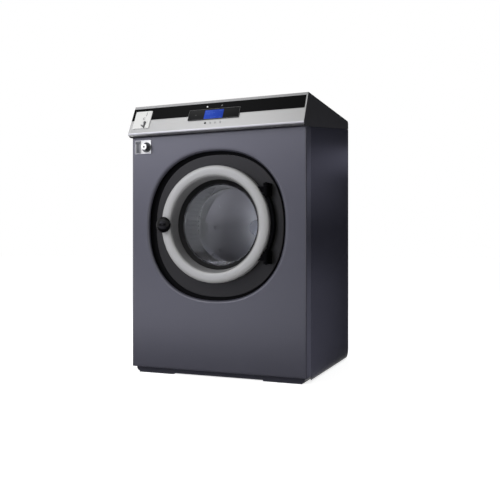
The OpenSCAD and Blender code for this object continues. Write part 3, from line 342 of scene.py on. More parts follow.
def noise(recipe, spot, size, detail=2.0, stretch=(1.0, 1.0, 1.0)):
    """Noise whose lumps are about size millimetres, drawn out by stretch."""
    pulled = recipe.node("VectorMath", {"operation": "MULTIPLY"}, {0: spot, 1: stretch})
    return recipe.node("TexNoise", None, {0: pulled, "Scale": 1000 / size, "Detail": detail})


def bump(recipe, height, depth):
    """A normal from a height between 0 and 1, depth millimetres deep."""
    return recipe.node("Bump", None, {"Strength": 1.0, "Distance": depth * MM, "Height": height})


print("lumps of 2 mm need a noise scale of", 1000 / 2)

# %% [markdown]
# ## Finishes that share one recipe
#
# Paint, moulded plastic, rubber and rolled metal differ in numbers more than in
# kind. Each has a colour that wanders a little, a gloss that wanders with it, and
# a fine relief: orange peel on powder coat, spark-eroded grain on a moulding,
# brushed lines on steel. A material for each could be built apart, but one
# function makes them all, so a finish is a line of numbers that can be compared
# with its neighbours.

# %% The shared recipe
def coat(slot, colour, gloss, relief, metal=0.0, wander=0.10, patch=60.0, stretch=(1, 1, 1),
         level=0.5, clear=0.0):
    """A finish: gloss is (roughness, its spread), relief is (lump size, depth) in mm."""
    roughness, spread = gloss
    lump, depth = relief
    made = bpy.data.materials.new(slot)
    recipe = Recipe(made)
    spot = place_on(recipe)
    drift = noise(recipe, spot, patch, 3.0, stretch)
    fine = noise(recipe, spot, lump, 1.5, stretch)
    shader = recipe.node("BsdfPrincipled", None, {
        "Base Color": recipe.mix(drift, shade(colour, 1 - wander), shade(colour, 1 + wander)),
        "Metallic": metal,
        "Roughness": roughness + (fine - 0.5) * spread + (drift - 0.5) * spread,
        "Specular IOR Level": level,
        "Coat Weight": clear,
        "Coat Roughness": 0.08,
        "Normal": bump(recipe, fine, depth),
    })
    recipe.node("OutputMaterial", None, {0: shader})
    finishes[slot] = made


# Rolled and brushed metal has its lines along X, so its noise is drawn out that way
BRUSHED = (0.02, 1, 1)
print("brushed lines are", round(1 / BRUSHED[0]), "times as long as they are wide")

# %% [markdown]
# ## Paints
#
# The front is a purple-grey powder coat with a soft gloss. The sides carry the
# same coat, painted darker: painted shade, because they turn away from the lamps.
# The frame's coat is more satin still. The door's ring is sprayed silver. Cast
# parts inside carry a thick blue-grey paint with a coarse relief. The colours of
# what the photograph shows were set by laying a render beside it. The hidden ones
# are what such parts usually have.

# %% Paints
coat("panel_paint", rgb(63, 63, 73), (0.30, 0.06), (1.6, 0.008), level=0.75, wander=0.03)
# The sides' colour is the front's coat painted darker, as painted shade for the side that turns
# from the lamps
coat("side_paint", rgb(44, 44, 55), (0.30, 0.015), (1.6, 0.001), level=0.32, wander=0.02)
coat("steel_frame", rgb(47, 47, 57), (0.48, 0.10), (2.2, 0.02), level=0.25)
coat("surround_grey", rgb(23, 22, 21), (0.34, 0.06), (1.2, 0.008), level=0.32, wander=0.04)
coat("hinge_black", rgb(3, 3, 4), (0.50, 0.10), (1.4, 0.02), level=0.03)
coat("ring_silver", rgb(157, 157, 157), (0.40, 0.06), (0.9, 0.008), metal=0.15, wander=0.03)
coat("cast_grey", rgb(66, 76, 88), (0.55, 0.15), (4.0, 0.12))
coat("motor_grey", rgb(58, 66, 76), (0.45, 0.12), (2.5, 0.05))
coat("coin_white", rgb(198, 198, 197), (0.35, 0.06), (1.2, 0.006), wander=0.02)
print(len(finishes), "paints")

# %% [markdown]
# ## Mouldings and rubber
#
# The cover is a charcoal moulding with a fine grain. The black parts of the console
# and the knob are polished mouldings, which show the room in them, and the grey
# cone is a matt one. Rubber has nearly no gloss. A lens could be clear plastic
# over a lamp, but the lamps are off, so a pale gloss coat does the same.

# %% Mouldings and rubber
coat("cover_plastic", rgb(52, 52, 53), (0.52, 0.10), (0.8, 0.03), level=0.30, wander=0.05)
coat("black_plastic", rgb(4, 4, 5), (0.55, 0.10), (0.9, 0.03), level=0.06)
coat("gloss_black", rgb(9, 9, 10), (0.16, 0.04), (3.0, 0.004), level=0.05)
coat("bezel_black", rgb(21, 21, 22), (0.20, 0.04), (2.0, 0.004), level=0.10)
coat("knob_black", rgb(5, 5, 6), (0.16, 0.03), (3.0, 0.003), level=0.16)
coat("cone_grey", rgb(124, 124, 125), (0.50, 0.08), (0.9, 0.02), level=0.12)
coat("key_grey", rgb(158, 158, 159), (0.40, 0.08), (0.7, 0.01))
coat("seal_rubber", rgb(13, 13, 13), (0.62, 0.12), (1.5, 0.03), level=0.25)
coat("belt_rubber", rgb(24, 24, 24), (0.70, 0.12), (1.0, 0.05), level=0.3)
coat("valve_plastic", rgb(212, 208, 196), (0.45, 0.08), (1.2, 0.02))
coat("pipe_grey", rgb(132, 134, 138), (0.38, 0.08), (2.0, 0.01))
coat("circuit_board", rgb(34, 88, 52), (0.35, 0.15), (1.2, 0.04))
coat("lamp_lens", rgb(225, 225, 225), (0.15, 0.05), (1.0, 0.004), clear=0.5)
# Also the grey of the bezel's rim, which is a painted highlight
coat("dim_lens", rgb(92, 92, 92), (0.20, 0.05), (1.0, 0.004), level=0.3)
coat("dark_lens", rgb(58, 58, 58), (0.25, 0.05), (1.0, 0.004), level=0.2)
# Grey used as painted shade in the round groove over the coin lever
coat("groove_shade_grey", rgb(96, 96, 97), (0.40, 0.08), (0.7, 0.01), level=0.2)
coat("dark_key", rgb(44, 44, 45), (0.40, 0.08), (0.7, 0.01), level=0.2)
print(len(finishes), "finishes with the mouldings")

# %% [markdown]
# ## Metals
#
# The console and the drum are brushed stainless steel, with long fine lines. The
# rear is galvanized sheet, whose zinc crystals show as patches of light and dark,
# so its colour wanders more and in larger lumps. The front plates of the coin box
# look pale and flat in the photograph, so they are only a quarter metal.

# %% Metals
coat("polished", rgb(236, 236, 235), (0.30, 0.06), (1.5, 0.004), metal=0.25, wander=0.02)
coat("bright_plate", rgb(205, 205, 204), (0.34, 0.06), (1.5, 0.004), metal=0.25, wander=0.03)
coat("dull_plate", rgb(128, 128, 129), (0.42, 0.08), (1.2, 0.006), metal=0.2, wander=0.03,
     level=0.3)
coat("trim_steel", rgb(162, 162, 162), (0.42, 0.08), (1.1, 0.006), metal=0.85, wander=0.03,
     stretch=BRUSHED, level=0.3)
# A dark grey for the lock's escutcheon, also used as painted shade in the T recess and the keyhole
coat("dark_metal_and_painted_shade", rgb(74, 75, 77), (0.35, 0.08), (1.0, 0.010), metal=0.4)
coat("stainless", rgb(186, 186, 186), (0.34, 0.10), (1.1, 0.006), metal=1.0, wander=0.05,
     stretch=BRUSHED)
coat("console_steel", rgb(186, 186, 185), (0.36, 0.08), (1.1, 0.006), metal=0.85, wander=0.03,
     stretch=BRUSHED, level=0.3)
coat("zinc_sheet", rgb(160, 162, 165), (0.46, 0.16), (6.0, 0.02), metal=0.85, wander=0.14,
     patch=24.0)
coat("lever_metal", rgb(84, 84, 86), (0.30, 0.08), (1.0, 0.006), metal=0.6)
coat("pin_steel", rgb(168, 170, 173), (0.22, 0.08), (0.8, 0.006), metal=1.0)
coat("pulley_alloy", rgb(168, 170, 173), (0.38, 0.12), (1.2, 0.02), metal=1.0)
print(len(finishes), "finishes with the metals")

# %% [markdown]
# ## The door's glass
#
# The door's bowl is thick pressed glass. A thin film that only mirrors would be
# quicker to render, but the bowl is a real solid with an inner and an outer skin,
# so the light bends and reflects twice and the rim looks thick. Pressing leaves
# the surface a little uneven, in waves as wide as a thumb.

# %% Door glass
def pressed_glass():
    """Clear glass with a trace of blue and slow waves in its surface."""
    made = bpy.data.materials.new("door_pane")
    recipe = Recipe(made)
    wave = noise(recipe, place_on(recipe), 45.0, 1.0)
    shader = recipe.node("BsdfPrincipled", None, {
        "Base Color": recipe.mix(wave, rgb(243, 246, 253), rgb(250, 251, 255)),
        "Roughness": 0.02 + wave * 0.03,
        "Transmission Weight": 1.0,
        "IOR": 1.5,
        "Normal": bump(recipe, wave, 0.25),
    })
    recipe.node("OutputMaterial", None, {0: shader})
    finishes["door_pane"] = made


pressed_glass()
print("door glass made")

# %% [markdown]
# ## The lit display
#
# The display is a blue panel with a lamp behind its left end. An even blue would
# look printed, so the glow fades from left to right along X, and the gloss has the
# fine raster of the panel's columns.

# %% Display
RASTER = 5200.0
FADE_FROM, FADE = 0.55, 9.0


def lit_display(name, low, high):
    """A panel that glows in the colour high at its lamp and in low away from it."""
    made = bpy.data.materials.new(name)
    recipe = Recipe(made)
    x = recipe.node("SeparateXYZ", None, {0: place_on(recipe)}, out="X")
    raster = recipe.node("Math", {"operation": "SINE"}, {0: x * RASTER})
    lamp = recipe.clamp(FADE_FROM - x * FADE)
    shader = recipe.node("BsdfPrincipled", None, {
        "Base Color": rgb(4, 7, 24),
        "Roughness": 0.18 + raster * 0.02,
        "Specular IOR Level": 0.08,
        "Emission Color": recipe.mix(lamp, low, high),
        "Emission Strength": 0.9,
    })
    recipe.node("OutputMaterial", None, {0: shader})
    finishes[name] = made


lit_display("screen_blue", rgb(30, 58, 158), rgb(40, 76, 190))
lit_display("screen_mark", rgb(72, 104, 205), rgb(92, 128, 228))
print("raster lines are", round(2 * math.pi / RASTER / MM, 2), "mm apart")

# %% [markdown]
# ## Finishes for the construction parts
#
# The record names a material slot for every construction part. The parts could be
# dressed one by one, but a loop over the record can't forget any. Each gets the
# finish of its slot, and a small round on its sharp edges, because no bent sheet
# or casting ends in a knife edge.

# %% Dress the construction parts
EDGE_ROUND = 0.6
for row in frame["record"]["subparts"]:
    part = cad[row["node"]]
    part.data.materials.clear()
    part.data.materials.append(finishes[row["material_slot"]])
    soften(part, EDGE_ROUND)
print("dressed", len(cad), "parts")

# %% [markdown]
# ## The painted front
#
# The front is one sheet of steel. Its opening is a squarish circle with a rolled
# lip, and its outer edges are bent back. A boolean cut would leave a hard rim, so
# the sheet is drawn as a skin that starts at the lip, runs out over the flat face
# and round the outer bends, and comes back inside as the sheet's other side. Each
# of its rows has one point for each of the same directions, so they join up.

# %% The opening's outline
# Half its width and height, where its middle lies, and how far it is from a plain
# ellipse, which has a squareness of 2
OPEN_HALF_W, OPEN_HALF_H = 313.2, 315.0
OPEN_X, OPEN_Z = -3.8, 632.0
SQUARENESS = 2.27


def egg_row(grow, y, turns, half_w=OPEN_HALF_W, half_h=OPEN_HALF_H, z=OPEN_Z, x=OPEN_X):
    """A squarish circle at one Y, grown by a margin, one point in each direction."""
    row = []
    for turn in turns:
        c, s = math.cos(turn), math.sin(turn)
        reach = abs(c / (half_w + grow)) ** SQUARENESS + abs(s / (half_h + grow)) ** SQUARENESS
        r = reach ** (-1 / SQUARENESS)
        row.append((x + r * c, y, z + r * s))
    return row


print("the opening is", 2 * OPEN_HALF_W, "wide and", 2 * OPEN_HALF_H, "high")

# %% The sheet's outline
# The sheet's thickness, the radius of its outer bends, and how far its sides and
# its ends are turned back
SHEET = 2.0
BEND = 6.0
WRAP, END_WRAP = 62.0, 18.0
SHEET_TOP = PANEL_TOP + 7.0
TINY = 1e-9

corner_turns = [
    math.atan2(z - OPEN_Z, x) % (2 * math.pi)
    for x in (-HALF_W, HALF_W) for z in (PANEL_LOW, SHEET_TOP)
]
panel_turns = sorted(around(240) + corner_turns)


def sheet_row(inset, depth):
    """The sheet's outer rectangle, inset from its edges; depth is its Y, or gives each Y."""
    row = []
    for turn in panel_turns:
        c, s = math.cos(turn), math.sin(turn)
        side = (HALF_W - inset) / max(abs(c), TINY)
        high = SHEET_TOP - OPEN_Z if s > 0 else OPEN_Z - PANEL_LOW
        reach = min(side, (high - inset) / max(abs(s), TINY))
        y = depth(side <= reach * 1.0001) if callable(depth) else depth
        row.append((reach * c, y, OPEN_Z + reach * s))
    return row


print("rows of the sheet have", len(panel_turns), "points, four of them in its corners")

# %% The rolled lip and the bent edges
# The lip's depth behind the face, its width, where the flat face begins outside the
# opening's outline, and the first row on that face
LIP, ROLL = 12.0, 13.0
FLAT_FROM, FACE_ROW = 8.0, 14.0
BEND_ROW = BEND + 3.0


def rolled_lip(back):
    """Rows from the lip's inner edge out to the face; back is 0 or the sheet's thickness."""
    return [
        egg_row(FLAT_FROM - (ROLL - back) * math.cos(a),
                FRONT + LIP - (LIP - back) * math.sin(a), panel_turns)
        for a in quarter(10)
    ]


def turned_back(at_side):
    """The sides are bent back to the seam, the top and bottom only a little."""
    return FRONT + (WRAP if at_side else END_WRAP)


def front_panel():
    """The front skin from the lip outward, then the back skin from the edge inward."""
    face = rolled_lip(0.0)
    face += [egg_row(FACE_ROW, FRONT, panel_turns), sheet_row(BEND_ROW, FRONT)]
    face += [sheet_row(BEND * (1 - math.sin(a)), FRONT + BEND * (1 - math.cos(a)))
             for a in quarter(6)]
    face.append(sheet_row(0, turned_back))
    back = [sheet_row(SHEET, turned_back), sheet_row(SHEET, FRONT + BEND),
            sheet_row(BEND, FRONT + SHEET), egg_row(FACE_ROW, FRONT + SHEET, panel_turns)]
    back += rolled_lip(SHEET)[::-1]
    return skin(face + back, tube=True)


print("the lip rolls in", LIP, "deep")

# %% [markdown]
# ## The sides of the front
#
# Behind the console, the sides of the painted front rise in a wedge to the slanted
# lower edge of the cover. Bent from the same sheet, they belong to the same piece,
# so they are joined to the front's mesh before it becomes an object.

# %% Front panel with its wedges
CHEEK_LOW, CHEEK_HIGH, CHEEK_RUN = PANEL_TOP + 3.0, TOTAL_H - 37.0, 700.0
WEDGE_FROM = 31.0


def wedge_top(y):
    """Height just under the cover's lower edge, over a place front to back."""
    return CHEEK_LOW + (CHEEK_HIGH - CHEEK_LOW) * (y - FRONT) / CHEEK_RUN - 1


def side_wedge(x):
    """The side of the front panel rises behind the console to meet the cover."""
    y0, y1, low = FRONT + WEDGE_FROM, FRONT + WRAP, SHEET_TOP - 1
    line = [(y0, low), (y1, low), (y1, wedge_top(y1)), (y0, wedge_top(y0))]
    return skin([[(px, y, z) for y, z in line] for px in (x, x + SHEET)], caps=True)


piece("painted_front", "cabinet", "panel_paint",
      join(front_panel(), side_wedge(-HALF_W), side_wedge(HALF_W - SHEET)), ["front_panel"])

# %% [markdown]
# ## The black recess and the surround plate
#
# Behind the opening a black tray sets the door back, and a dark grey plate closes
# it round the door. The plate's edge shows as a thin black gap all round, wide at
# the left of the picture and narrow at the right, so both are true solids with a
# real gap between them. The plate has a notch for the latch finger.

# %% Recess
SURROUND_HALF_W, SURROUND_HALF_H = 290.2, 296.6
SURROUND_X, SURROUND_Z = 2.3, OPEN_Z - 0.5
SURROUND_Y = FRONT + 24.0
TRAY_Y = SURROUND_Y + 6.0
# The tray hangs on a flange behind the sheet, this much wider than the opening
FLANGE, FLANGE_Y = 14.0, FRONT + SHEET
tray_turns = around(240)


def egg_rows(turns, *steps):
    """Rows of the opening's outline, each grown by a margin and at its own Y."""
    return [egg_row(grow, y, turns) for grow, y in steps]


def surround_rows(turns, *steps):
    """The same for the surround plate's outline."""
    return [egg_row(grow, y, turns, SURROUND_HALF_W, SURROUND_HALF_H, SURROUND_Z, SURROUND_X)
            for grow, y in steps]


# From the flange behind the sheet in along the wall, over the floor, and back outside
tray = (
    egg_rows(tray_turns, (FLANGE, FLANGE_Y), (2.5, FLANGE_Y), (1.3, FLANGE_Y + 1.2),
             (1.3, TRAY_Y - 3), (0.4, TRAY_Y - 0.9), (-1.7, TRAY_Y))
    + surround_rows(tray_turns, (-9, TRAY_Y), (-9, TRAY_Y + SHEET))
    + egg_rows(tray_turns, (3.5, TRAY_Y + SHEET), (3.5, FLANGE_Y + SHEET),
               (FLANGE, FLANGE_Y + SHEET))
)
piece("recess_tray", "cabinet", "black_plastic", skin(tray, tube=True), ["mouth_recess"])

# %% The mouth in the plate
MOUTH_R = 207.0
KNOB_X = -223.0


def mouth_points():
    """The mouth's edge by direction: a circle, with the finger's notch at the left."""
    x, low, high = KNOB_X - 13.0, DOOR_Z - 13.0, DOOR_Z + 37.0
    points = [(MOUTH_R * math.cos(a), DOOR_Z + MOUTH_R * math.sin(a)) for a in around(192)]
    edge = [p for p in points if not (p[0] < 0 and low < p[1] < high)]
    notch = [(-math.sqrt(MOUTH_R ** 2 - (z - DOOR_Z) ** 2), z) for z in (high, low)]
    left = [notch[0], (x, high), (x, low), notch[1]]
    first = next(i for i, p in enumerate(edge) if p[0] < 0 and p[1] <= low)
    return edge[:first] + left + edge[first:]


mouth = mouth_points()
mouth_turns = [math.atan2(z - SURROUND_Z, x - SURROUND_X) % (2 * math.pi) for x, z in mouth]
print("the mouth's edge has", len(mouth), "points")

# %% Surround plate
PLATE = 4.0


def mouth_row(y):
    """The mouth's edge at one Y."""
    return [(x, y, z) for x, z in mouth]


# Out over the face, round the softened edge, down the rim and back behind the plate
plate = (
    [mouth_row(SURROUND_Y)]
    + surround_rows(mouth_turns, (-4, SURROUND_Y), (-1.2, SURROUND_Y), (-0.3, SURROUND_Y + 0.4),
                    (0, SURROUND_Y + 1.3), (0, TRAY_Y), (-3, TRAY_Y), (-3, SURROUND_Y + PLATE))
    + [mouth_row(SURROUND_Y + PLATE)]
)
piece("surround_plate", "cabinet", "surround_grey", skin(plate, tube=True), ["surround_panel"])

# %% [markdown]
# ## The door
#
# The door is a stack of turned parts: a satin silver ring with a rounded crest, a
# dark cone that leads down to the glass, a black rubber gasket and a deep pressed
# glass bowl. Turning a profile gives each the exact section it has when it is cut
# through, and enough steps keep its edge round in a close look. Profiles are points
# of radius and Y, so a small Y is nearer to the viewer.

# %% Door ring
RING_R, RING_IN = 243.0, 200.5
CREST = FRONT - 20.0
RING_EDGE = FRONT - 9.0
CONE_FRONT = FRONT - 12.0
FRAME_Y0, FRAME_Y1 = FRONT, SURROUND_Y - 9.0
# Half the width of the crest's flat top, and the thickness of the rim behind the band
CREST_FLAT, RIM_WALL = 1.0, 2.2
crest_r = (RING_R + RING_IN) / 2
half_band = RING_R - crest_r - CREST_FLAT

ring_profile = (
    arc(crest_r + CREST_FLAT, RING_EDGE, half_band, RING_EDGE - CREST, 0, -90, 20)
    + arc(crest_r - CREST_FLAT, CONE_FRONT + 1, half_band, CONE_FRONT + 1 - CREST, -90, -180, 16)
    + [(RING_IN, FRAME_Y0), (RING_R - RIM_WALL, FRAME_Y0), (RING_R - RIM_WALL, FRAME_Y1),
       (RING_R, FRAME_Y1)]
)
piece("silver_ring", "door", "ring_silver", turned(ring_profile, steps=224), ["door_ring"])

# %% [markdown]
# ## Cone and gasket
#
# The cone leads from the ring down to the glass, and a black rubber gasket holds
# the glass in it. Its front edges are rounded, as moulded rubber is, and its groove
# takes the rim of the glass, so the three could be taken apart and put together
# again.

# %% Cone
CONE_R, CONE_END = 197.5, 189.2
GASKET_Y0, GASKET_Y1 = SURROUND_Y + 10.3, SURROUND_Y + 38.0
RIM_Y0, RIM_Y1 = GASKET_Y0 + 16.7, GASKET_Y0 + 22.7
cone_profile = [
    (RING_IN - 0.3, CONE_FRONT + 1.2), (RING_IN - 0.9, CONE_FRONT + 0.3),
    (RING_IN - 1.8, CONE_FRONT), (CONE_R + 0.6, CONE_FRONT), (CONE_R - 0.1, CONE_FRONT + 0.6),
    (CONE_END, GASKET_Y0 - 0.3), (CONE_END, GASKET_Y1), (CONE_END + 2, GASKET_Y1),
    (CONE_END + 2, GASKET_Y0 - 6), (CONE_R - 4, FRAME_Y1), (RING_IN - 0.3, FRAME_Y1 - 0.3),
]
piece("cone", "door", "cone_grey", turned(cone_profile, steps=192), ["door_cone"])

# %% Gasket
GLASS_R = 172.0
GASKET_LIP = 1.5
gasket_profile = (
    [(CONE_END - 0.3, GASKET_Y0 + 1)]
    + arc(CONE_END - 1.8, GASKET_Y0 + 1.5, GASKET_LIP, GASKET_LIP, 0, -100, 5)
    + arc(GLASS_R + 1.5, RIM_Y0 - 1.8, GASKET_LIP, GASKET_LIP, -125, -180, 5)
    + [(GLASS_R, RIM_Y0 - 0.3), (CONE_END - 4, RIM_Y0 - 0.3), (CONE_END - 4, RIM_Y1 + 0.3),
       (GLASS_R + 1, RIM_Y1 + 0.3), (GLASS_R + 1, GASKET_Y1 - 1), (CONE_END - 0.3, GASKET_Y1)]
)
piece("gasket", "door", "seal_rubber", turned(gasket_profile, steps=192), ["glass_gasket"])

# %% [markdown]
# ## The glass bowl
#
# The bowl reaches into the drum, so that laundry falls clear of the door, and its
# end looks like a flat disc from outside. It is pressed in one mould: a flange in
# the gasket, a wall that narrows a little so that it leaves the mould, a round
# corner and a flat end. Two skins a pane's thickness apart make it a solid.

# %% Glass bowl
# The radius at the flat end, the round of its corner, the thickness and the depth
BOWL_R, BOWL_CORNER, PANE = 167.0, 9.0, 5.0
BOWL_DEEP = 117.0
# The round where the flange meets the inner wall: across the axis and along it
LEAD_R, LEAD_Y = 2.5, 4.0
BOWL_END = RIM_Y0 + BOWL_DEEP
wall_r, wall_y = GLASS_R + 0.6, RIM_Y1 + 8
knee = (BOWL_R - BOWL_CORNER, BOWL_END - BOWL_CORNER)
taper = math.degrees(math.atan((wall_r - BOWL_R) / (knee[1] - wall_y)))


def bowl_skin(thick):
    """One skin of the bowl: flat end, round corner, wall that opens a little to the rim."""
    bend = arc(*knee, BOWL_CORNER - thick, BOWL_CORNER - thick, 90, taper, 14)
    return [(0, BOWL_END - thick)] + bend + [(wall_r - thick, wall_y)]


glass_profile = (
    bowl_skin(0)
    + [(wall_r, RIM_Y1 + 1.2), (wall_r + 1.2, RIM_Y1), (CONE_END - 5, RIM_Y1),
       (CONE_END - 4.4, RIM_Y1 - 0.6), (CONE_END - 4.4, RIM_Y0 + 0.6), (CONE_END - 5, RIM_Y0)]
    + arc(wall_r - PANE + LEAD_R, RIM_Y0 + LEAD_Y, LEAD_R, LEAD_Y, -90, -180, 8)
    + bowl_skin(PANE)[::-1]
)
piece("glass_bowl", "door", "door_pane", turned(glass_profile, steps=192), ["door_glass"])

# %% [markdown]
# ## The knob
#
# The latch is turned by a black knob, a ball pressed flat like a pebble and cut off
# behind its middle. Its axis is the latch spindle's, so it is a profile turned about
# that line: most of an ellipse and a flat back.

# %% Knob
KNOB_R, KNOB_HALF = 33.5, 17.0
KNOB_BACK = CREST - 1.5
KNOB_Y = KNOB_BACK - 12.0


def knob_axis(u, v, along):
    """A point beside the latch spindle's axis."""
    return (KNOB_X + u, along, DOOR_Z + v)


def knob_profile():
    """Most of an ellipse, from the flat back to the tip toward the viewer."""
    back_turn = math.degrees(math.asin((KNOB_BACK - 1 - KNOB_Y) / KNOB_HALF))
    ball = arc(0, KNOB_Y, KNOB_R, KNOB_HALF, back_turn, -90, 40)
    return [(0, KNOB_BACK), (ball[0][0] - 1.2, KNOB_BACK)] + ball


piece("ball_knob", "knob", "knob_black", turned(knob_profile(), knob_axis, 96), ["door_knob"])

# %% [markdown]
# ## The steel console
#
# The console is one sheet of brushed stainless steel: a slanted face that rolls
# under at the bottom into a round nose. It is a long profile, so the section is
# drawn once and carried from the left end to the right. The face leans back, and
# a helper places points on it: x to the right, s up the slope and n outward.

# %% The console's own slanted frame
# The lean of the face, the construction nose's radius, and how far it stands out
SLOPE = math.radians(26.1)
NOSE_R = 17.3
NOSE_OUT = 32.6
NOSE_Y = FRONT - NOSE_OUT + NOSE_R
NOSE_Z = PANEL_TOP + SEAM + NOSE_R
FACE_Y = NOSE_Y - NOSE_R * math.cos(SLOPE)
FACE_Z = NOSE_Z + NOSE_R * math.sin(SLOPE)


def on_face(x, s, n):
    """A point in the face's own frame, as a point of the machine."""
    return (x, FACE_Y + s * math.sin(SLOPE) - n * math.cos(SLOPE),
            FACE_Z + s * math.cos(SLOPE) + n * math.sin(SLOPE))


print("the face starts at Y", round(FACE_Y, 1), "and Z", round(FACE_Z, 1))

# %% Fascia
# The nose that is seen is tighter than the construction one and reaches a little
# further out, which makes its highlight narrow
BEND_R = 8.2
REACH = 2.0
# How far the sheet runs back under the nose and over the top, the top edge's roll,
# and how deep that roll cuts the corner, as a share of it
UNDER, OVER = 30.0, 8.0
EDGE_ROLL, CORNER_CUT = 3.0, 0.15
BEND_Y = NOSE_Y - NOSE_R - REACH + BEND_R
BEND_Z = NOSE_Z + (NOSE_R - BEND_R) * math.tan(SLOPE / 2) - REACH / math.tan(SLOPE)


def fascia_line(inset):
    """The section's outline, inset by the sheet's thickness for its inner side."""
    r = BEND_R - inset
    top_y = FACE_Y + (TOTAL_H - FACE_Z) * math.tan(SLOPE) + inset / math.cos(SLOPE)
    top_z = TOTAL_H - inset
    slant = (top_y - inset * math.tan(SLOPE), top_z)
    roll = EDGE_ROLL - inset
    start = (slant[0] - roll * math.sin(SLOPE), top_z - roll * math.cos(SLOPE))
    return (
        [(FRONT + UNDER, BEND_Z - r)]
        + arc(BEND_Y, BEND_Z, r, r, 270, 180 - math.degrees(SLOPE), 28)
        + [start, (slant[0] - roll * CORNER_CUT, top_z - roll * CORNER_CUT),
           (slant[0] + roll, top_z), (slant[0] + OVER, top_z)]
    )


def fascia():
    """The section of the sheet, carried over the machine's whole width."""
    section = fascia_line(0) + fascia_line(SHEET)[::-1]
    rows = [[(x, y, z) for y, z in section] for x in (-HALF_W, HALF_W)]
    return skin(rows, caps=True)


piece("steel_fascia", "cabinet", "stainless", fascia(), ["console_fascia"], bevel=0.8,
      finish="console_steel")

# %% [markdown]
# ## The band along the top
#
# Along its top edge the face has a duller band in the photograph. It could be a
# mask in the steel's finish, but a thin strip of its own keeps its edges sharp
# from near.

# %% Top band
TRIM_S0, TRIM_S1, TRIM_THICK = 118.0, 131.0, 0.25
trim_section = [(TRIM_S0, 0), (TRIM_S0, TRIM_THICK), (TRIM_S1, TRIM_THICK), (TRIM_S1, 0)]
trim = [[on_face(x, s, n) for s, n in trim_section] for x in (-HALF_W + 1, HALF_W - 1)]
piece("top_band", "cabinet", "stainless", skin(trim, caps=True), finish="trim_steel")

# %% [markdown]
# ## Small parts on the console
#
# The gloss strip and the coin plate are flat parts whose construction shape is
# right, so they stay. The bezel, the display, the keys and the lenses are made
# again with softened edges and domes, because a moulding without a round edge
# reads as paper. They share one maker for flat parts, which draws the outline on
# the slanted face and insets its upper edge.

# %% Outlines of flat parts
def rounded(x0, x1, s0, s1, r, steps=5):
    """A rectangle with rounded corners, as points."""
    corners = [(x1 - r, s1 - r), (x0 + r, s1 - r), (x0 + r, s0 + r), (x1 - r, s0 + r)]
    return [p for i, (cx, cs) in enumerate(corners)
            for p in arc(cx, cs, r, r, 90 * i, 90 * i + 90, steps)]


def flat_part(outline, low, high, place=on_face, edge=0.3):
    """A flat part between two heights, with a small round on its upper edge."""
    cx = sum(p[0] for p in outline) / len(outline)
    cs = sum(p[1] for p in outline) / len(outline)

    def row(inset, n):
        return [place(x - inset * math.copysign(1, x - cx), s - inset * math.copysign(1, s - cs), n)
                for x, s in outline]

    return skin([row(0, low), row(0, high - edge), row(edge * 0.3, high - edge * 0.3),
                 row(edge, high)], caps=True)


def frame_part(outline, inner, low, high):
    """A flat ring on the slanted face, between two outlines of equal length."""
    return skin([[on_face(x, s, n) for x, s in line]
                 for line, n in ((outline, low), (outline, high), (inner, high), (inner, low))],
                tube=True)


print("a rounded rectangle has", len(rounded(0, 20, 0, 10, 2)), "points")

# %% [markdown]
# ## Bezel and display
#
# The control bezel is a black moulding with a pale line round it, where its edge
# catches the light. That line is a painted highlight: a thin grey rim laid on the
# bezel. The display sits in it. It shows short bars where a real one has its
# lines, so no words are needed.

# %% Bezel
BEZEL_X0, BEZEL_X1 = (corner("control_bezel", end, "x") for end in (0, 1))
BEZEL_S0, BEZEL_S1 = 34.0, 85.5
bezel = rounded(BEZEL_X0, BEZEL_X1, BEZEL_S0, BEZEL_S1, 2.0)
piece("bezel_plate", "cabinet", "gloss_black", flat_part(bezel, 0.1, 3.1), ["control_bezel"],
      finish="bezel_black")
EDGE = 1.0
bezel_inside = rounded(BEZEL_X0 + EDGE, BEZEL_X1 - EDGE, BEZEL_S0 + EDGE, BEZEL_S1 - EDGE, 1.2)
# The grey rim round the bezel is a painted highlight along its edge
piece("bezel_painted_highlight", "cabinet", "gloss_black", frame_part(bezel, bezel_inside, 2.9, 3.7),
      finish="dim_lens")

# %% Display
SCREEN_X0, SCREEN_X1, SCREEN_S0, SCREEN_S1 = -43.5, 41.5, 36.0, 80.0
screen = rounded(SCREEN_X0, SCREEN_X1, SCREEN_S0, SCREEN_S1, 1.5)
piece("display_pane", "cabinet", "screen_blue", flat_part(screen, 0.0, 3.4), ["display_screen"])

# %% Bars on the display
# The share of each step that a bar fills
BAR_SHARE = 0.62


def dashes(rows):
    """Small raised bars; a row has its two ends, its height up the face, its width and step."""
    bars = []
    for x0, x1, s, high, step in rows:
        x = x0
        while x < x1:
            bar = rounded(x, x + step * BAR_SHARE, s, s + high, 0.3, 2)
            bars.append(flat_part(bar, 3.2, 3.5, edge=0.05))
            x += step
    return join(*bars)


marks = dashes([(-38, -10, 73, 1.5, 5.5), (22, 36, 73, 1.5, 5.5), (-38, 2, 65, 1.5, 4.2),
                (-38, -6, 59, 1.2, 4.2), (-14, 8, 42, 1.6, 5.0), (26, 34, 41, 1.6, 4.0)])
piece("display_marks", "cabinet", "screen_blue", marks, finish="screen_mark")

# %% [markdown]
# ## Keys and lenses
#
# The four round keys and the three lamp lenses are turned, each round a line that
# stands straight out of the slanted face. A key rides on its own body, so it goes
# in alone when it is pressed. The domes are nearly quarter ellipses.

# %% Keys
def face_spot(cx, cs):
    """Places points round a line that stands out of the face."""
    return lambda u, v, along: on_face(cx + u, cs + v, along)


def domed(r, low, high, crown):
    """The profile of a round part with a softly domed top."""
    return [(0, low), (r, low), (r, high - crown - 0.3)] + arc(0, high - crown, r, crown, 8, 90, 8)


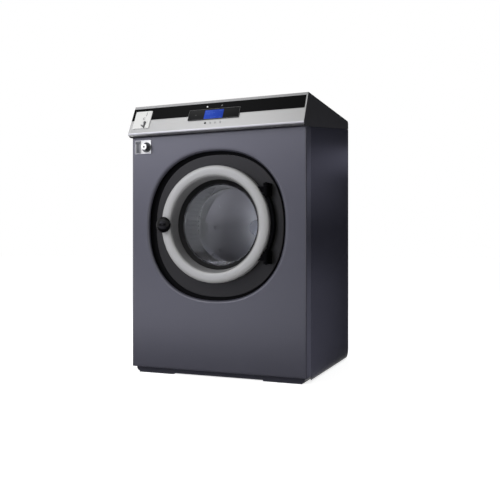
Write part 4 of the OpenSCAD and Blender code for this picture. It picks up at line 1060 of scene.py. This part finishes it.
KEY_X = [-33.45, -11.15, 11.15, 33.45]
KEY_S, KEY_R = 17.2, 4.5
KEY_BODIES = ["key_a", "key_b", "key_c", "key_d"]
for number, (key_x, key_body) in enumerate(zip(KEY_X, KEY_BODIES), start=1):
    shape = turned(domed(KEY_R, -4.0, 2.0, 0.7), face_spot(key_x, KEY_S), 48)
    piece(f"round_key_{number}", key_body, "key_grey", shape, [f"key_{number}"],
          finish="dark_key" if number == 1 else "key_grey")

# %% Lenses
# Place across and up the face, how far each stands out, and its finish
LENS_R = 3.6
LAMPS = [(-38.9, 99.5, 2.2, "lamp_lens"), (27.5, 100.8, 2.2, "dim_lens"),
         (-82.9, 58.5, 3.6, "dark_lens")]
for number, (lamp_x, lamp_s, lamp_n, tint) in enumerate(LAMPS, start=1):
    lens = turned(domed(LENS_R, -6.0, lamp_n, 1.0), face_spot(lamp_x, lamp_s), 40)
    piece(f"lens_{number}", "cabinet", "lamp_lens", lens,
          ["indicator_lamps"] if number == 1 else (), finish=tint)

# %% [markdown]
# ## The coin box's front
#
# Below the coin plate, in the painted front, is the cash box. Its front plate is
# two halves: the left one dull grey with a dark T, the right one bright round the
# lock. They could be two colours of one plate, but separate thin plates have an
# edge that shows, as sheet laid on sheet does. The dark T is painted shade: a
# thin dark plate laid in the T-shaped recess of the left half.

# %% Coin box front
COIN_X0, COIN_X1 = (corner("coin_plate", end, "x") for end in (0, 1))
BOX_Z0, BOX_Z1 = (corner("coin_box", end, "z") for end in (0, 1))
BOX_FACE = FRONT - 4.0
# The T's top, the underside of its bar and its foot, and where the two plates meet
TEE_TOP, TEE_BAR, TEE_LOW = BOX_Z1 - 5.5, BOX_Z1 - 15.5, BOX_Z0 + 4.5
SPLIT_X = COIN_X0 + 31.0


def on_front(x, z, out):
    """A point in front of the coin box's face: out grows toward the viewer."""
    return (x, BOX_FACE - out, z)


def flat_on_front(x0, x1, z0, z1, low, high):
    """A flat part with small corners on the coin box's face."""
    return flat_part(rounded(x0, x1, z0, z1, 0.5, 3), low, high, on_front, 0.08)


def half_plate(x0, x1, high):
    """A plate that is 1 mm smaller than the coin box above and below."""
    return flat_on_front(x0, x1, BOX_Z0 + 1, BOX_Z1 - 1, -0.2, high)


piece("dull_half", "coin_drawer", "stainless", half_plate(COIN_X0 + 1, SPLIT_X, 0.12),
      finish="dull_plate")
piece("polished_half", "coin_drawer", "stainless", half_plate(SPLIT_X, COIN_X1 - 1, 0.2),
      finish="bright_plate")
# The dark T is painted shade: a thin plate laid in the T-shaped recess of the coin box
tee = join(flat_on_front(COIN_X0 + 2, COIN_X0 + 27.5, TEE_BAR, TEE_TOP, -2.0, 0.2),
           flat_on_front(COIN_X0 + 8, COIN_X0 + 23, TEE_LOW, TEE_BAR, -2.0, 0.2))
piece("tee_painted_shade", "coin_drawer", "stainless", tee, finish="dark_metal_and_painted_shade")

# %% [markdown]
# ## The coin lock
#
# A thick lock stands out toward the viewer: a dark escutcheon on the plate, a
# barrel, a polished collar at its end and a round keyhole in it. They share the
# lock's line and ride on the barrel's body, and so does the cam behind the plate,
# which swings into the vault's wall when the key turns. The keyhole is no hole but
# a flat dark disc on the barrel's end, painted shade of the hole.

# %% Lock barrel and escutcheon
LOCK_X, LOCK_Z = COIN_X1 - 22.0, 972.95
LOCK_BACK = BOX_FACE - 0.3
LOCK_OUT = 24.0
BARREL_R, TAIL_R, TAIL = 12.5, 8.0, 11.8
# The collar stands this far out past the barrel's own end
COLLAR_OUT = 4.5


def lock_axis(u, v, along):
    """A point beside the lock's axis."""
    return (LOCK_X + u, along, LOCK_Z + v)


escutcheon = [(12.6, LOCK_BACK), (21.5, LOCK_BACK), (21.5, LOCK_BACK - 2.2), (20.5, LOCK_BACK - 3),
              (17.5, LOCK_BACK - 3), (15.5, LOCK_BACK - 1.6), (12.6, LOCK_BACK - 1.6)]
piece("lock_escutcheon", "coin_barrel", "lever_metal", turned(escutcheon, lock_axis, 72),
      ["coin_lock"], finish="dark_metal_and_painted_shade")

collar_y = LOCK_BACK - LOCK_OUT
barrel_y = collar_y + COLLAR_OUT
barrel = [(0, LOCK_BACK + TAIL), (TAIL_R, LOCK_BACK + TAIL), (TAIL_R, LOCK_BACK),
          (BARREL_R, LOCK_BACK), (BARREL_R, barrel_y), (0, barrel_y)]
piece("lock_barrel", "coin_barrel", "lever_metal", turned(barrel, lock_axis, 72))

# %% Collar, keyhole and cam
COLLAR_ROUND, BORE_R = 1.2, 4.6


def lock_flat(outline, y, thick, edge):
    """A flat part across the lock's axis, from one Y toward the viewer."""
    return flat_part(outline, 0, thick, lambda x, z, out: lock_axis(x, z, y - out), edge)


collar = (
    [(BARREL_R + 0.2, barrel_y + 0.2)]
    + arc(11.5, collar_y + COLLAR_ROUND, COLLAR_ROUND, COLLAR_ROUND, 0, -90, 4)
    + [(BORE_R + 0.6, collar_y), (BORE_R, collar_y + 0.8), (BORE_R, barrel_y + 0.2)]
)
piece("lock_collar", "coin_barrel", "lever_metal", turned(collar, lock_axis, 72),
      finish="polished")
# The keyhole is a flat disc of painted shade on the barrel's end
keyhole = rounded(-3.9, 3.9, -3.9, 3.9, 3.8, 6)
piece("keyhole_painted_shade", "coin_barrel", "lever_metal", lock_flat(keyhole, barrel_y, 0.3, 0.05),
      finish="dark_metal_and_painted_shade")
cam = rounded(-5, 5, -20.5, 0, 2.0, 3)
piece("lock_cam", "coin_barrel", "lever_metal", lock_flat(cam, FRONT + 7.5, 3, 0.2))

# %% [markdown]
# ## Slot liner and round mark
#
# The white coin plate has a slot with a liner, which keeps coins from wearing the
# plate, and a small almost closed ring moulded into it as a groove over the lever.
# A grey ring laid in that groove is its painted shade. Both are a pair of outlines
# with a height, like the bezel's edge.

# %% Liner of the coin slot
SLOT_X = -323.5
liner_outer = rounded(SLOT_X - 1.65, SLOT_X + 1.65, 76.1, 95.9, 1.4, 4)
liner_inner = rounded(SLOT_X - 0.55, SLOT_X + 0.55, 77.2, 94.8, 0.5, 4)
piece("slot_liner", "cabinet", "coin_white", frame_part(liner_outer, liner_inner, 0.2, 2.7),
      finish="pipe_grey")

# %% The painted shade of the round groove over the lever
def open_ring(cx, cs, r_out, r_in, gap):
    """The outline of an almost closed ring; gap is half the opening, in degrees."""
    turns = [math.radians(gap + (360 - 2 * gap) * i / 24) for i in range(25)]
    outer = [(cx + r_out * math.cos(a), cs + r_out * math.sin(a)) for a in turns]
    return outer + [(cx + r_in * math.cos(a), cs + r_in * math.sin(a)) for a in turns[::-1]]


# The grey ring is painted shade, laid in the round groove of the coin plate
mark = open_ring(SLOT_X - 8, 63.5, 5.4, 3.2, 38)
mark_rows = [[on_face(x, s, n) for x, s in mark] for n in (2.1, 3.1)]
piece("round_groove_shade", "cabinet", "coin_white", skin(mark_rows, caps=True), finish="groove_shade_grey")

# %% [markdown]
# ## The perforated drum
#
# Through the glass and through the open door one looks into the drum. A real one
# is a stainless sheet with a thousand punched holes or more. Booleans would be
# slow, so the sheet is woven from cells: each cell is a ring of quads between a
# square outside and an eight-sided hole inside, on the drum's inner and outer skin.

# %% The punched wall
# The mouth's roll stands out this far in front of the drum's flat front plate
ROLL_OUT = 6.0
DRUM_Y0, DRUM_Y1 = corner("drum_shell", 0, "y") + ROLL_OUT, corner("drum_shell", 1, "y")
DRUM_R, DRUM_SHEET = 305.0, 1.5
DRUM_IN = DRUM_R - DRUM_SHEET
CELLS_ROUND, CELLS_DEEP = 84, 16
# The radius of a hole
HOLE = 5.2


def drum_point(turn, y, r):
    """A point by its direction from the drum's axis, its Y and its distance."""
    return (r * math.cos(turn), y, DOOR_Z + r * math.sin(turn))


def perforated(y0, y1):
    """A drum wall of cells with a round hole in each, as two skins and the rims."""
    cell_turn = 2 * math.pi / CELLS_ROUND
    cell_deep = (y1 - y0) / CELLS_DEEP
    square = [(1, 0), (1, 1), (0, 1), (-1, 1), (-1, 0), (-1, -1), (0, -1), (1, -1)]
    points, faces = [], []
    for i in range(CELLS_ROUND):
        for j in range(CELLS_DEEP):
            turn = (i + 0.5) * cell_turn
            y = y0 + (j + 0.5) * cell_deep
            start = len(points)
            for r in (DRUM_R, DRUM_IN):
                for a, b in square:
                    points.append(drum_point(turn + a * cell_turn / 2, y + b * cell_deep / 2, r))
                for k in range(8):
                    a = k * math.pi / 4
                    across = HOLE * math.cos(a) / DRUM_R
                    points.append(drum_point(turn + across, y + HOLE * math.sin(a), r))
            out_square, out_hole, in_square, in_hole = (start + 8 * ring for ring in range(4))
            for k in range(8):
                n = (k + 1) % 8
                faces.append((out_square + k, out_square + n, out_hole + n, out_hole + k))
                faces.append((in_square + n, in_square + k, in_hole + k, in_hole + n))
                faces.append((out_hole + k, out_hole + n, in_hole + n, in_hole + k))
    return points, faces


# The wall lies between the plain rim at the back and the bend to the front
WALL_Y0, WALL_Y1 = DRUM_Y0 + 12, DRUM_Y1 - 9
mantle = perforated(WALL_Y0, WALL_Y1)
print(CELLS_ROUND * CELLS_DEEP, "holes punched")

# %% [markdown]
# ## The drum's rims
#
# The wall ends in a plain rim at the back. At the front it bends round to a flat
# front plate, whose mouth is rolled forward so that no edge catches the laundry.
# Both are turned, with two steps for each cell of the wall, so their edges meet
# the wall's point by point.

# %% Drum shell
MOUTH_LIP = 196.0
SHOULDER = 10.0
shoulder_middle = (DRUM_R - SHOULDER, DRUM_Y0 + SHOULDER)
shoulder_in = SHOULDER - DRUM_SHEET

back_rim = [(DRUM_R, WALL_Y1), (DRUM_R, DRUM_Y1), (DRUM_IN, DRUM_Y1), (DRUM_IN, WALL_Y1)]
rolled_mouth = [
    (MOUTH_LIP + 8, DRUM_Y0), (MOUTH_LIP + 3, DRUM_Y0 - 1.5), (MOUTH_LIP + 3, DRUM_Y0 - 5),
    (MOUTH_LIP + 1.5, DRUM_Y0 - ROLL_OUT), (MOUTH_LIP, DRUM_Y0 - 5), (MOUTH_LIP, DRUM_Y0 + 0.5),
    (MOUTH_LIP + 2, DRUM_Y0 + 1.5),
]
front_rim = (
    [(DRUM_R, WALL_Y0)] + arc(*shoulder_middle, SHOULDER, SHOULDER, 0, -90, 5) + rolled_mouth
    + arc(*shoulder_middle, shoulder_in, shoulder_in, -90, 0, 5) + [(DRUM_IN, WALL_Y0)]
)
rims = [turned(profile, steps=CELLS_ROUND * 2) for profile in (back_rim, front_rim)]
piece("punched_drum", "drum", "stainless", join(mantle, *rims), ["drum_shell"])

# %% [markdown]
# ## Lifters
#
# Three ribs lift the laundry. Each is a tall rounded ridge, wide where it is
# riveted to the drum. Its section is a smooth curve, carried along the drum, with
# ends that slope down so that nothing catches on them.

# %% Lifters
LIFTER_H = 62.0
LIFTER_Y0, LIFTER_Y1 = DRUM_Y0 + 20, DRUM_Y1 - 20
# Half the width at the foot, and how wide the bell-shaped ridge is
FOOT, RIDGE = 44.0, 21.0
# An end rises to STEP_H at STEP_IN from its tip, and to the full height at FULL_IN
STEP_H, STEP_IN, FULL_IN = 20.0, 6.0, 24.0


def lifter_section(high):
    """Places across the lifter and its height there, from foot to foot."""
    across = [FOOT * (1 - i / 12) for i in range(25)]
    return [(u, high * math.exp(-(u / RIDGE) ** 2)) for u in across]


def lifter(turn):
    """A ridge whose two ends slope down to the drum's wall."""
    rows = []
    for y, high in ((LIFTER_Y0, 1), (LIFTER_Y0 + STEP_IN, STEP_H), (LIFTER_Y0 + FULL_IN, LIFTER_H),
                    (LIFTER_Y1 - FULL_IN, LIFTER_H), (LIFTER_Y1 - STEP_IN, STEP_H), (LIFTER_Y1, 1)):
        row = [drum_point(turn + across / DRUM_R, y, DRUM_IN - 0.4 - up)
               for across, up in lifter_section(high)]
        row += [drum_point(turn + across / DRUM_R, y, DRUM_IN - 0.2) for across in (-FOOT, 0, FOOT)]
        rows.append(row)
    return skin(rows, caps=True)


lifter_turns = [math.radians(90 + 120 * i) for i in range(3)]
piece("lifter_ribs", "drum", "stainless", join(*[lifter(a) for a in lifter_turns]),
      ["drum_lifters"])

# %% [markdown]
# ## Camera
#
# The photograph was taken from the right of the machine, level, at about half its
# height. A camera fitted to the cabinet's straight edges stands at the place given
# here and turns 21.74 degrees to the left. A level camera keeps upright edges
# upright, and a small shift moves the horizon to where the photograph has it.

# %% Camera
camera = to_scene(bpy.data.objects.new("camera", bpy.data.cameras.new("camera")))
camera.location = (1.1569, -2.8581, 0.540)
camera.rotation_euler = (math.radians(90), 0, math.radians(21.74))
camera.data.sensor_width = 36.0
camera.data.lens = 48.02
camera.data.shift_y = -0.004
bpy.context.scene.camera = camera
view_turn = 2 * math.atan(camera.data.sensor_width / 2 / camera.data.lens)
print("the view is", round(math.degrees(view_turn), 1), "degrees wide")

# %% [markdown]
# ## The white room
#
# The machine stands in a white studio, as in the photograph. Camera, mirror and
# glass rays see white all round, while the light that falls on matt surfaces is
# weaker, so that the lamps do the modelling. The kind of ray is a node, so one
# world does both. From here on, lengths of the room are in metres.

# %% World
world = bpy.data.worlds.new("studio")
bpy.context.scene.world = world
sky = Recipe(world)


def seen(recipe):
    """1 for rays from the camera, from a mirror surface or through glass."""
    kinds = [recipe.node("LightPath", None, None, out=name)
             for name in ("Is Camera Ray", "Is Glossy Ray", "Is Transmission Ray")]
    return recipe.clamp(kinds[0] + kinds[1] + kinds[2])


AMBIENT = 0.30
backdrop = sky.node("Background", None, {"Color": (1, 1, 1, 1),
                                         "Strength": AMBIENT + seen(sky) * (1 - AMBIENT)})
sky.node("OutputWorld", None, {0: backdrop})
print("matt surfaces get", AMBIENT, "of the room's light")

# %% [markdown]
# ## The floor
#
# The photograph's floor is white right up to the feet. A plain white plane would
# show the machine's shadow there, so this one is pale and also glows for the rays
# that see it, by just as much as makes it white. Matt surfaces get only the light
# that its pale coat throws back.

# %% Floor
FLOOR_HALF = 30
FLOOR_GLOW = 0.77


def one_card(name, points, finish):
    """A single face of four corners in a finish of the stage."""
    mesh = bpy.data.meshes.new(name)
    mesh.from_pydata(points, [], [(0, 1, 2, 3)])
    mesh.materials.append(finish)
    return to_scene(bpy.data.objects.new(name, mesh))


def lying(x0, x1, y0, y1, z):
    """The four corners of a level card, just above the floor or overhead."""
    return [(x0, y0, z), (x1, y0, z), (x1, y1, z), (x0, y1, z)]


def floor():
    """A pale matt plane that glows for the rays that see it."""
    made = bpy.data.materials.new("floor")
    recipe = Recipe(made)
    lumps = noise(recipe, place_on(recipe), 400.0)
    pale = recipe.mix(lumps, (0.80, 0.80, 0.80, 1), (0.82, 0.82, 0.82, 1))
    matt = recipe.node("BsdfDiffuse", None, {"Color": pale})
    glow = recipe.node("Emission", None, {"Color": (1, 1, 1, 1),
                                          "Strength": seen(recipe) * FLOOR_GLOW})
    both = recipe.node("AddShader", None, {0: matt, 1: glow})
    recipe.node("OutputMaterial", None, {0: both})
    plane = one_card("floor", lying(-FLOOR_HALF, FLOOR_HALF, -FLOOR_HALF, FLOOR_HALF, 0), made)


floor()
print("floor laid,", 2 * FLOOR_HALF, "m square")

# %% [markdown]
# ## Lamps
#
# A large soft lamp high at the front left lights the front and the console, and
# lets the right side fall into shade as it does in the photograph. One overhead
# and a weak one low at the front soften the shade. Mirror rays don't see them,
# because a square lamp would stand out in every gloss. The cards of the next step
# are what the gloss shows, and they have soft edges.

# %% Lamps
def soft_lamp(name, place, aim, size, power):
    """A rectangular lamp at a place, turned to what it lights; power is in watts."""
    data = bpy.data.lights.new(name, "AREA")
    data.shape = "RECTANGLE"
    data.size, data.size_y = size
    data.energy = power
    lamp = to_scene(bpy.data.objects.new(name, data))
    lamp.location = place
    lamp.visible_glossy = False
    lamp.rotation_euler = (Vector(aim) - Vector(place)).to_track_quat("-Z", "Y").to_euler()
    print(f"lamp {name}: {power} W")


soft_lamp("key", (-1.5, -2.3, 2.3), (0, -0.2, 0.75), (1.6, 1.6), 68)
soft_lamp("top", (0.2, 0.3, 2.9), (0, 0, 1.0), (1.8, 1.8), 20)
soft_lamp("fill", (-0.6, -3.2, 0.25), (0, -0.35, 0.95), (2.2, 0.5), 14)

# %% [markdown]
# ## Cards for the gloss
#
# What a glossy paint looks like is mostly what it mirrors. A photographer sets
# grey and white cards round a machine to shape that, out of the picture. These do
# the same: only mirror rays see them, and a few are seen through the glass too.
# Each corner has its own level of light, and the level runs smoothly between them,
# so the front fades from light to dark as it does in the photograph. A picture of
# a real room would be simpler, but couldn't be graded where it matters.

# %% Cards for mirror rays
# How much bluer than grey a card is: the room's own cool cast, and that at the right
COOL, DEEP_COOL = 1.18, 1.35
ON_FLOOR = 0.004


def card(name, points, levels, through=False, blue=COOL):
    """A card that mirror rays see, with a level for each corner; through is for glass rays."""
    made = bpy.data.materials.new(name)
    recipe = Recipe(made)
    glow = recipe.node("Attribute", {"attribute_name": "level"})
    shader = recipe.node("Emission", None, {"Color": glow, "Strength": 1.0})
    recipe.node("OutputMaterial", None, {0: shader})
    held = one_card(name, points, made)
    corners = held.data.color_attributes.new("level", "FLOAT_COLOR", "POINT")
    for spot, level in zip(corners.data, levels):
        spot.color = (level, level, level * blue, 1)
    held.visible_camera = held.visible_shadow = held.visible_diffuse = False
    held.visible_transmission = through


def wall(name, x0, y0, x1, y1, steps, fade=1.0, through=False, blue=COOL):
    """Cards above each other over one line; steps has heights and levels, fade dims one end."""
    for i, ((z0, l0), (z1, l1)) in enumerate(zip(steps, steps[1:])):
        points = [(x0, y0, z0), (x1, y1, z0), (x1, y1, z1), (x0, y0, z1)]
        card(f"{name}_{i}", points, (l0, l0 * fade, l1 * fade, l1), through, blue)
    print(name, "has", len(steps) - 1, "cards, up to", steps[-1][0], "m")


def floor_card(name, corners, levels, blue=COOL):
    """A card that lies just above the floor."""
    card(name, [(x, y, ON_FLOOR) for x, y in corners], levels, blue=blue)


print("floor cards lie", ON_FLOOR / MM, "mm up")

# %% [markdown]
# ## Cards for the right side
#
# The right side of the machine stands almost edge on to the camera, so it mirrors
# what is far behind it: a dark wall with a light stretch near the floor and one at
# the height of the cover. A grey wedge on the floor gives the lighter lower corner
# at the front.

# %% Walls and floor at the right
BACK_Y, FAR_X, WALL_H = 1.1, 3.6, 3.2
NEAR_Y, BREAK_Y, SIDE_X = -2.2, -0.18, 0.41

wall("rear_wall", 0.71, BACK_Y, FAR_X, BACK_Y,
     [(0, 0.24), (0.30, 0.22), (0.50, 0.07), (0.66, 0.02), (0.82, 0.17), (0.98, 0.28), (1.12, 0.16),
      (1.25, 0.02), (WALL_H, 0.02)], blue=DEEP_COOL)
wall("rear_edge", 0.42, BACK_Y, 0.71, BACK_Y,
     [(0, 0.02), (0.50, 0.01), (0.96, 0.01), (1.04, 0.24), (1.12, 0.28), (1.17, 0.01),
      (WALL_H, 0.01)], blue=DEEP_COOL)
wall("side_wall", FAR_X, BACK_Y, FAR_X, NEAR_Y, [(0, 0.03), (WALL_H, 0.03)])
floor_card("side_floor_front",
           [(SIDE_X, NEAR_Y), (FAR_X, NEAR_Y), (FAR_X, BREAK_Y), (SIDE_X, BREAK_Y)],
           (0.06, 0.10, 0.20, 0.10), blue=DEEP_COOL)
floor_card("side_floor", [(SIDE_X, BREAK_Y), (FAR_X, BREAK_Y), (FAR_X, BACK_Y), (0.81, BACK_Y)],
           (0.20, 0.26, 0.30, 0.28), blue=DEEP_COOL)
floor_card("side_floor_edge", [(SIDE_X, BREAK_Y), (0.81, BACK_Y), (0.60, BACK_Y), (SIDE_X, 0.20)],
           (0.16, 0.20, 0.03, 0.02), blue=DEEP_COOL)
floor_card("side_floor_dark", [(SIDE_X, 0.20), (0.60, BACK_Y), (0.50, BACK_Y), (SIDE_X, BACK_Y)],
           (0.05, 0.03, 0.02, 0.02))

# %% [markdown]
# ## Cards for the front, the glass and the console
#
# The front mirrors a wall at the left of the camera, light low down and high up
# and dark between, which gives the painted sheet its slow gradient. A bright patch
# in front of it shows in the glass disc. Two strips higher up and three cards
# overhead are what the slanted steel mirrors.

# %% Walls at the front, strips and cards overhead
wall("front_wall", -3.4, -3.2, 0.6, -4.4,
     [(0, 1.3), (0.30, 0.95), (0.55, 0.24), (0.80, 0.10), (1.05, 0.50), (1.45, 2.3), (1.65, 3.8),
      (2.4, 3.8)], fade=0.18, through=True)
wall("bowl_glow", -1.75, -3.3, -1.10, -3.50,
     [(0.60, 0.6), (0.85, 3.7), (1.08, 3.7), (1.16, 0.9)], fade=0.24)
# The strips' lower and upper edge, and the light of both
STRIP = [(2.5, 3.25), (3.3, 3.25)]
wall("strip_left", -1.2, -2.9, -3.0, -2.4, STRIP, fade=0.82, blue=1.1)
wall("strip_right", -1.2, -2.9, 0.6, -3.4, STRIP, fade=0.5, blue=1.1)

OVERHEAD = 2.9
for name, x0, x1, left, right in (("over_left", -2.2, -0.86, 0.25, 1.42),
                                  ("over_middle", -0.86, 0.20, 1.42, 0.15),
                                  ("over_right", 0.20, 1.40, 0.15, 0.10)):
    card(name, lying(x0, x1, -1.9, -0.2, OVERHEAD), (left, right, right, left), blue=1.0)
print("cards overhead at", OVERHEAD, "m")

# %% [markdown]
# ## Cards on the floor in front
#
# The lower part of the front mirrors the floor. Right before the machine it is
# dark, further out it is bright, so the panel darkens toward its bottom edge.
# Without these cards it would mirror the white floor and look washed out.

# %% Floor in front
LEFT_X, MIDDLE_X, RIGHT_X = -3.4, -1.0, 0.40
for name, x0, x1, y0, y1, levels, through in (
        ("rail_floor", LEFT_X, RIGHT_X, -0.42, -0.30, (0.14, 0.14, 0.14, 0.14), True),
        ("near_floor", LEFT_X, RIGHT_X, -1.05, -0.42, (0.03, 0.03, 0.03, 0.03), True),
        ("middle_floor", LEFT_X, MIDDLE_X, -1.90, -1.05, (1.7, 2.0, 0.03, 0.03), False),
        ("middle_floor_edge", MIDDLE_X, RIGHT_X, -1.90, -1.05, (2.0, 0.20, 0.03, 0.03), False),
        ("far_floor", LEFT_X, MIDDLE_X, -3.8, -1.90, (1.2, 1.5, 1.6, 1.4), False),
        ("far_floor_edge", MIDDLE_X, RIGHT_X, -3.8, -1.90, (1.5, 0.20, 0.20, 1.6), False)):
    card(name, lying(x0, x1, y0, y1, ON_FLOOR), levels, through)
    print(name, "levels", levels)

# %% [markdown]
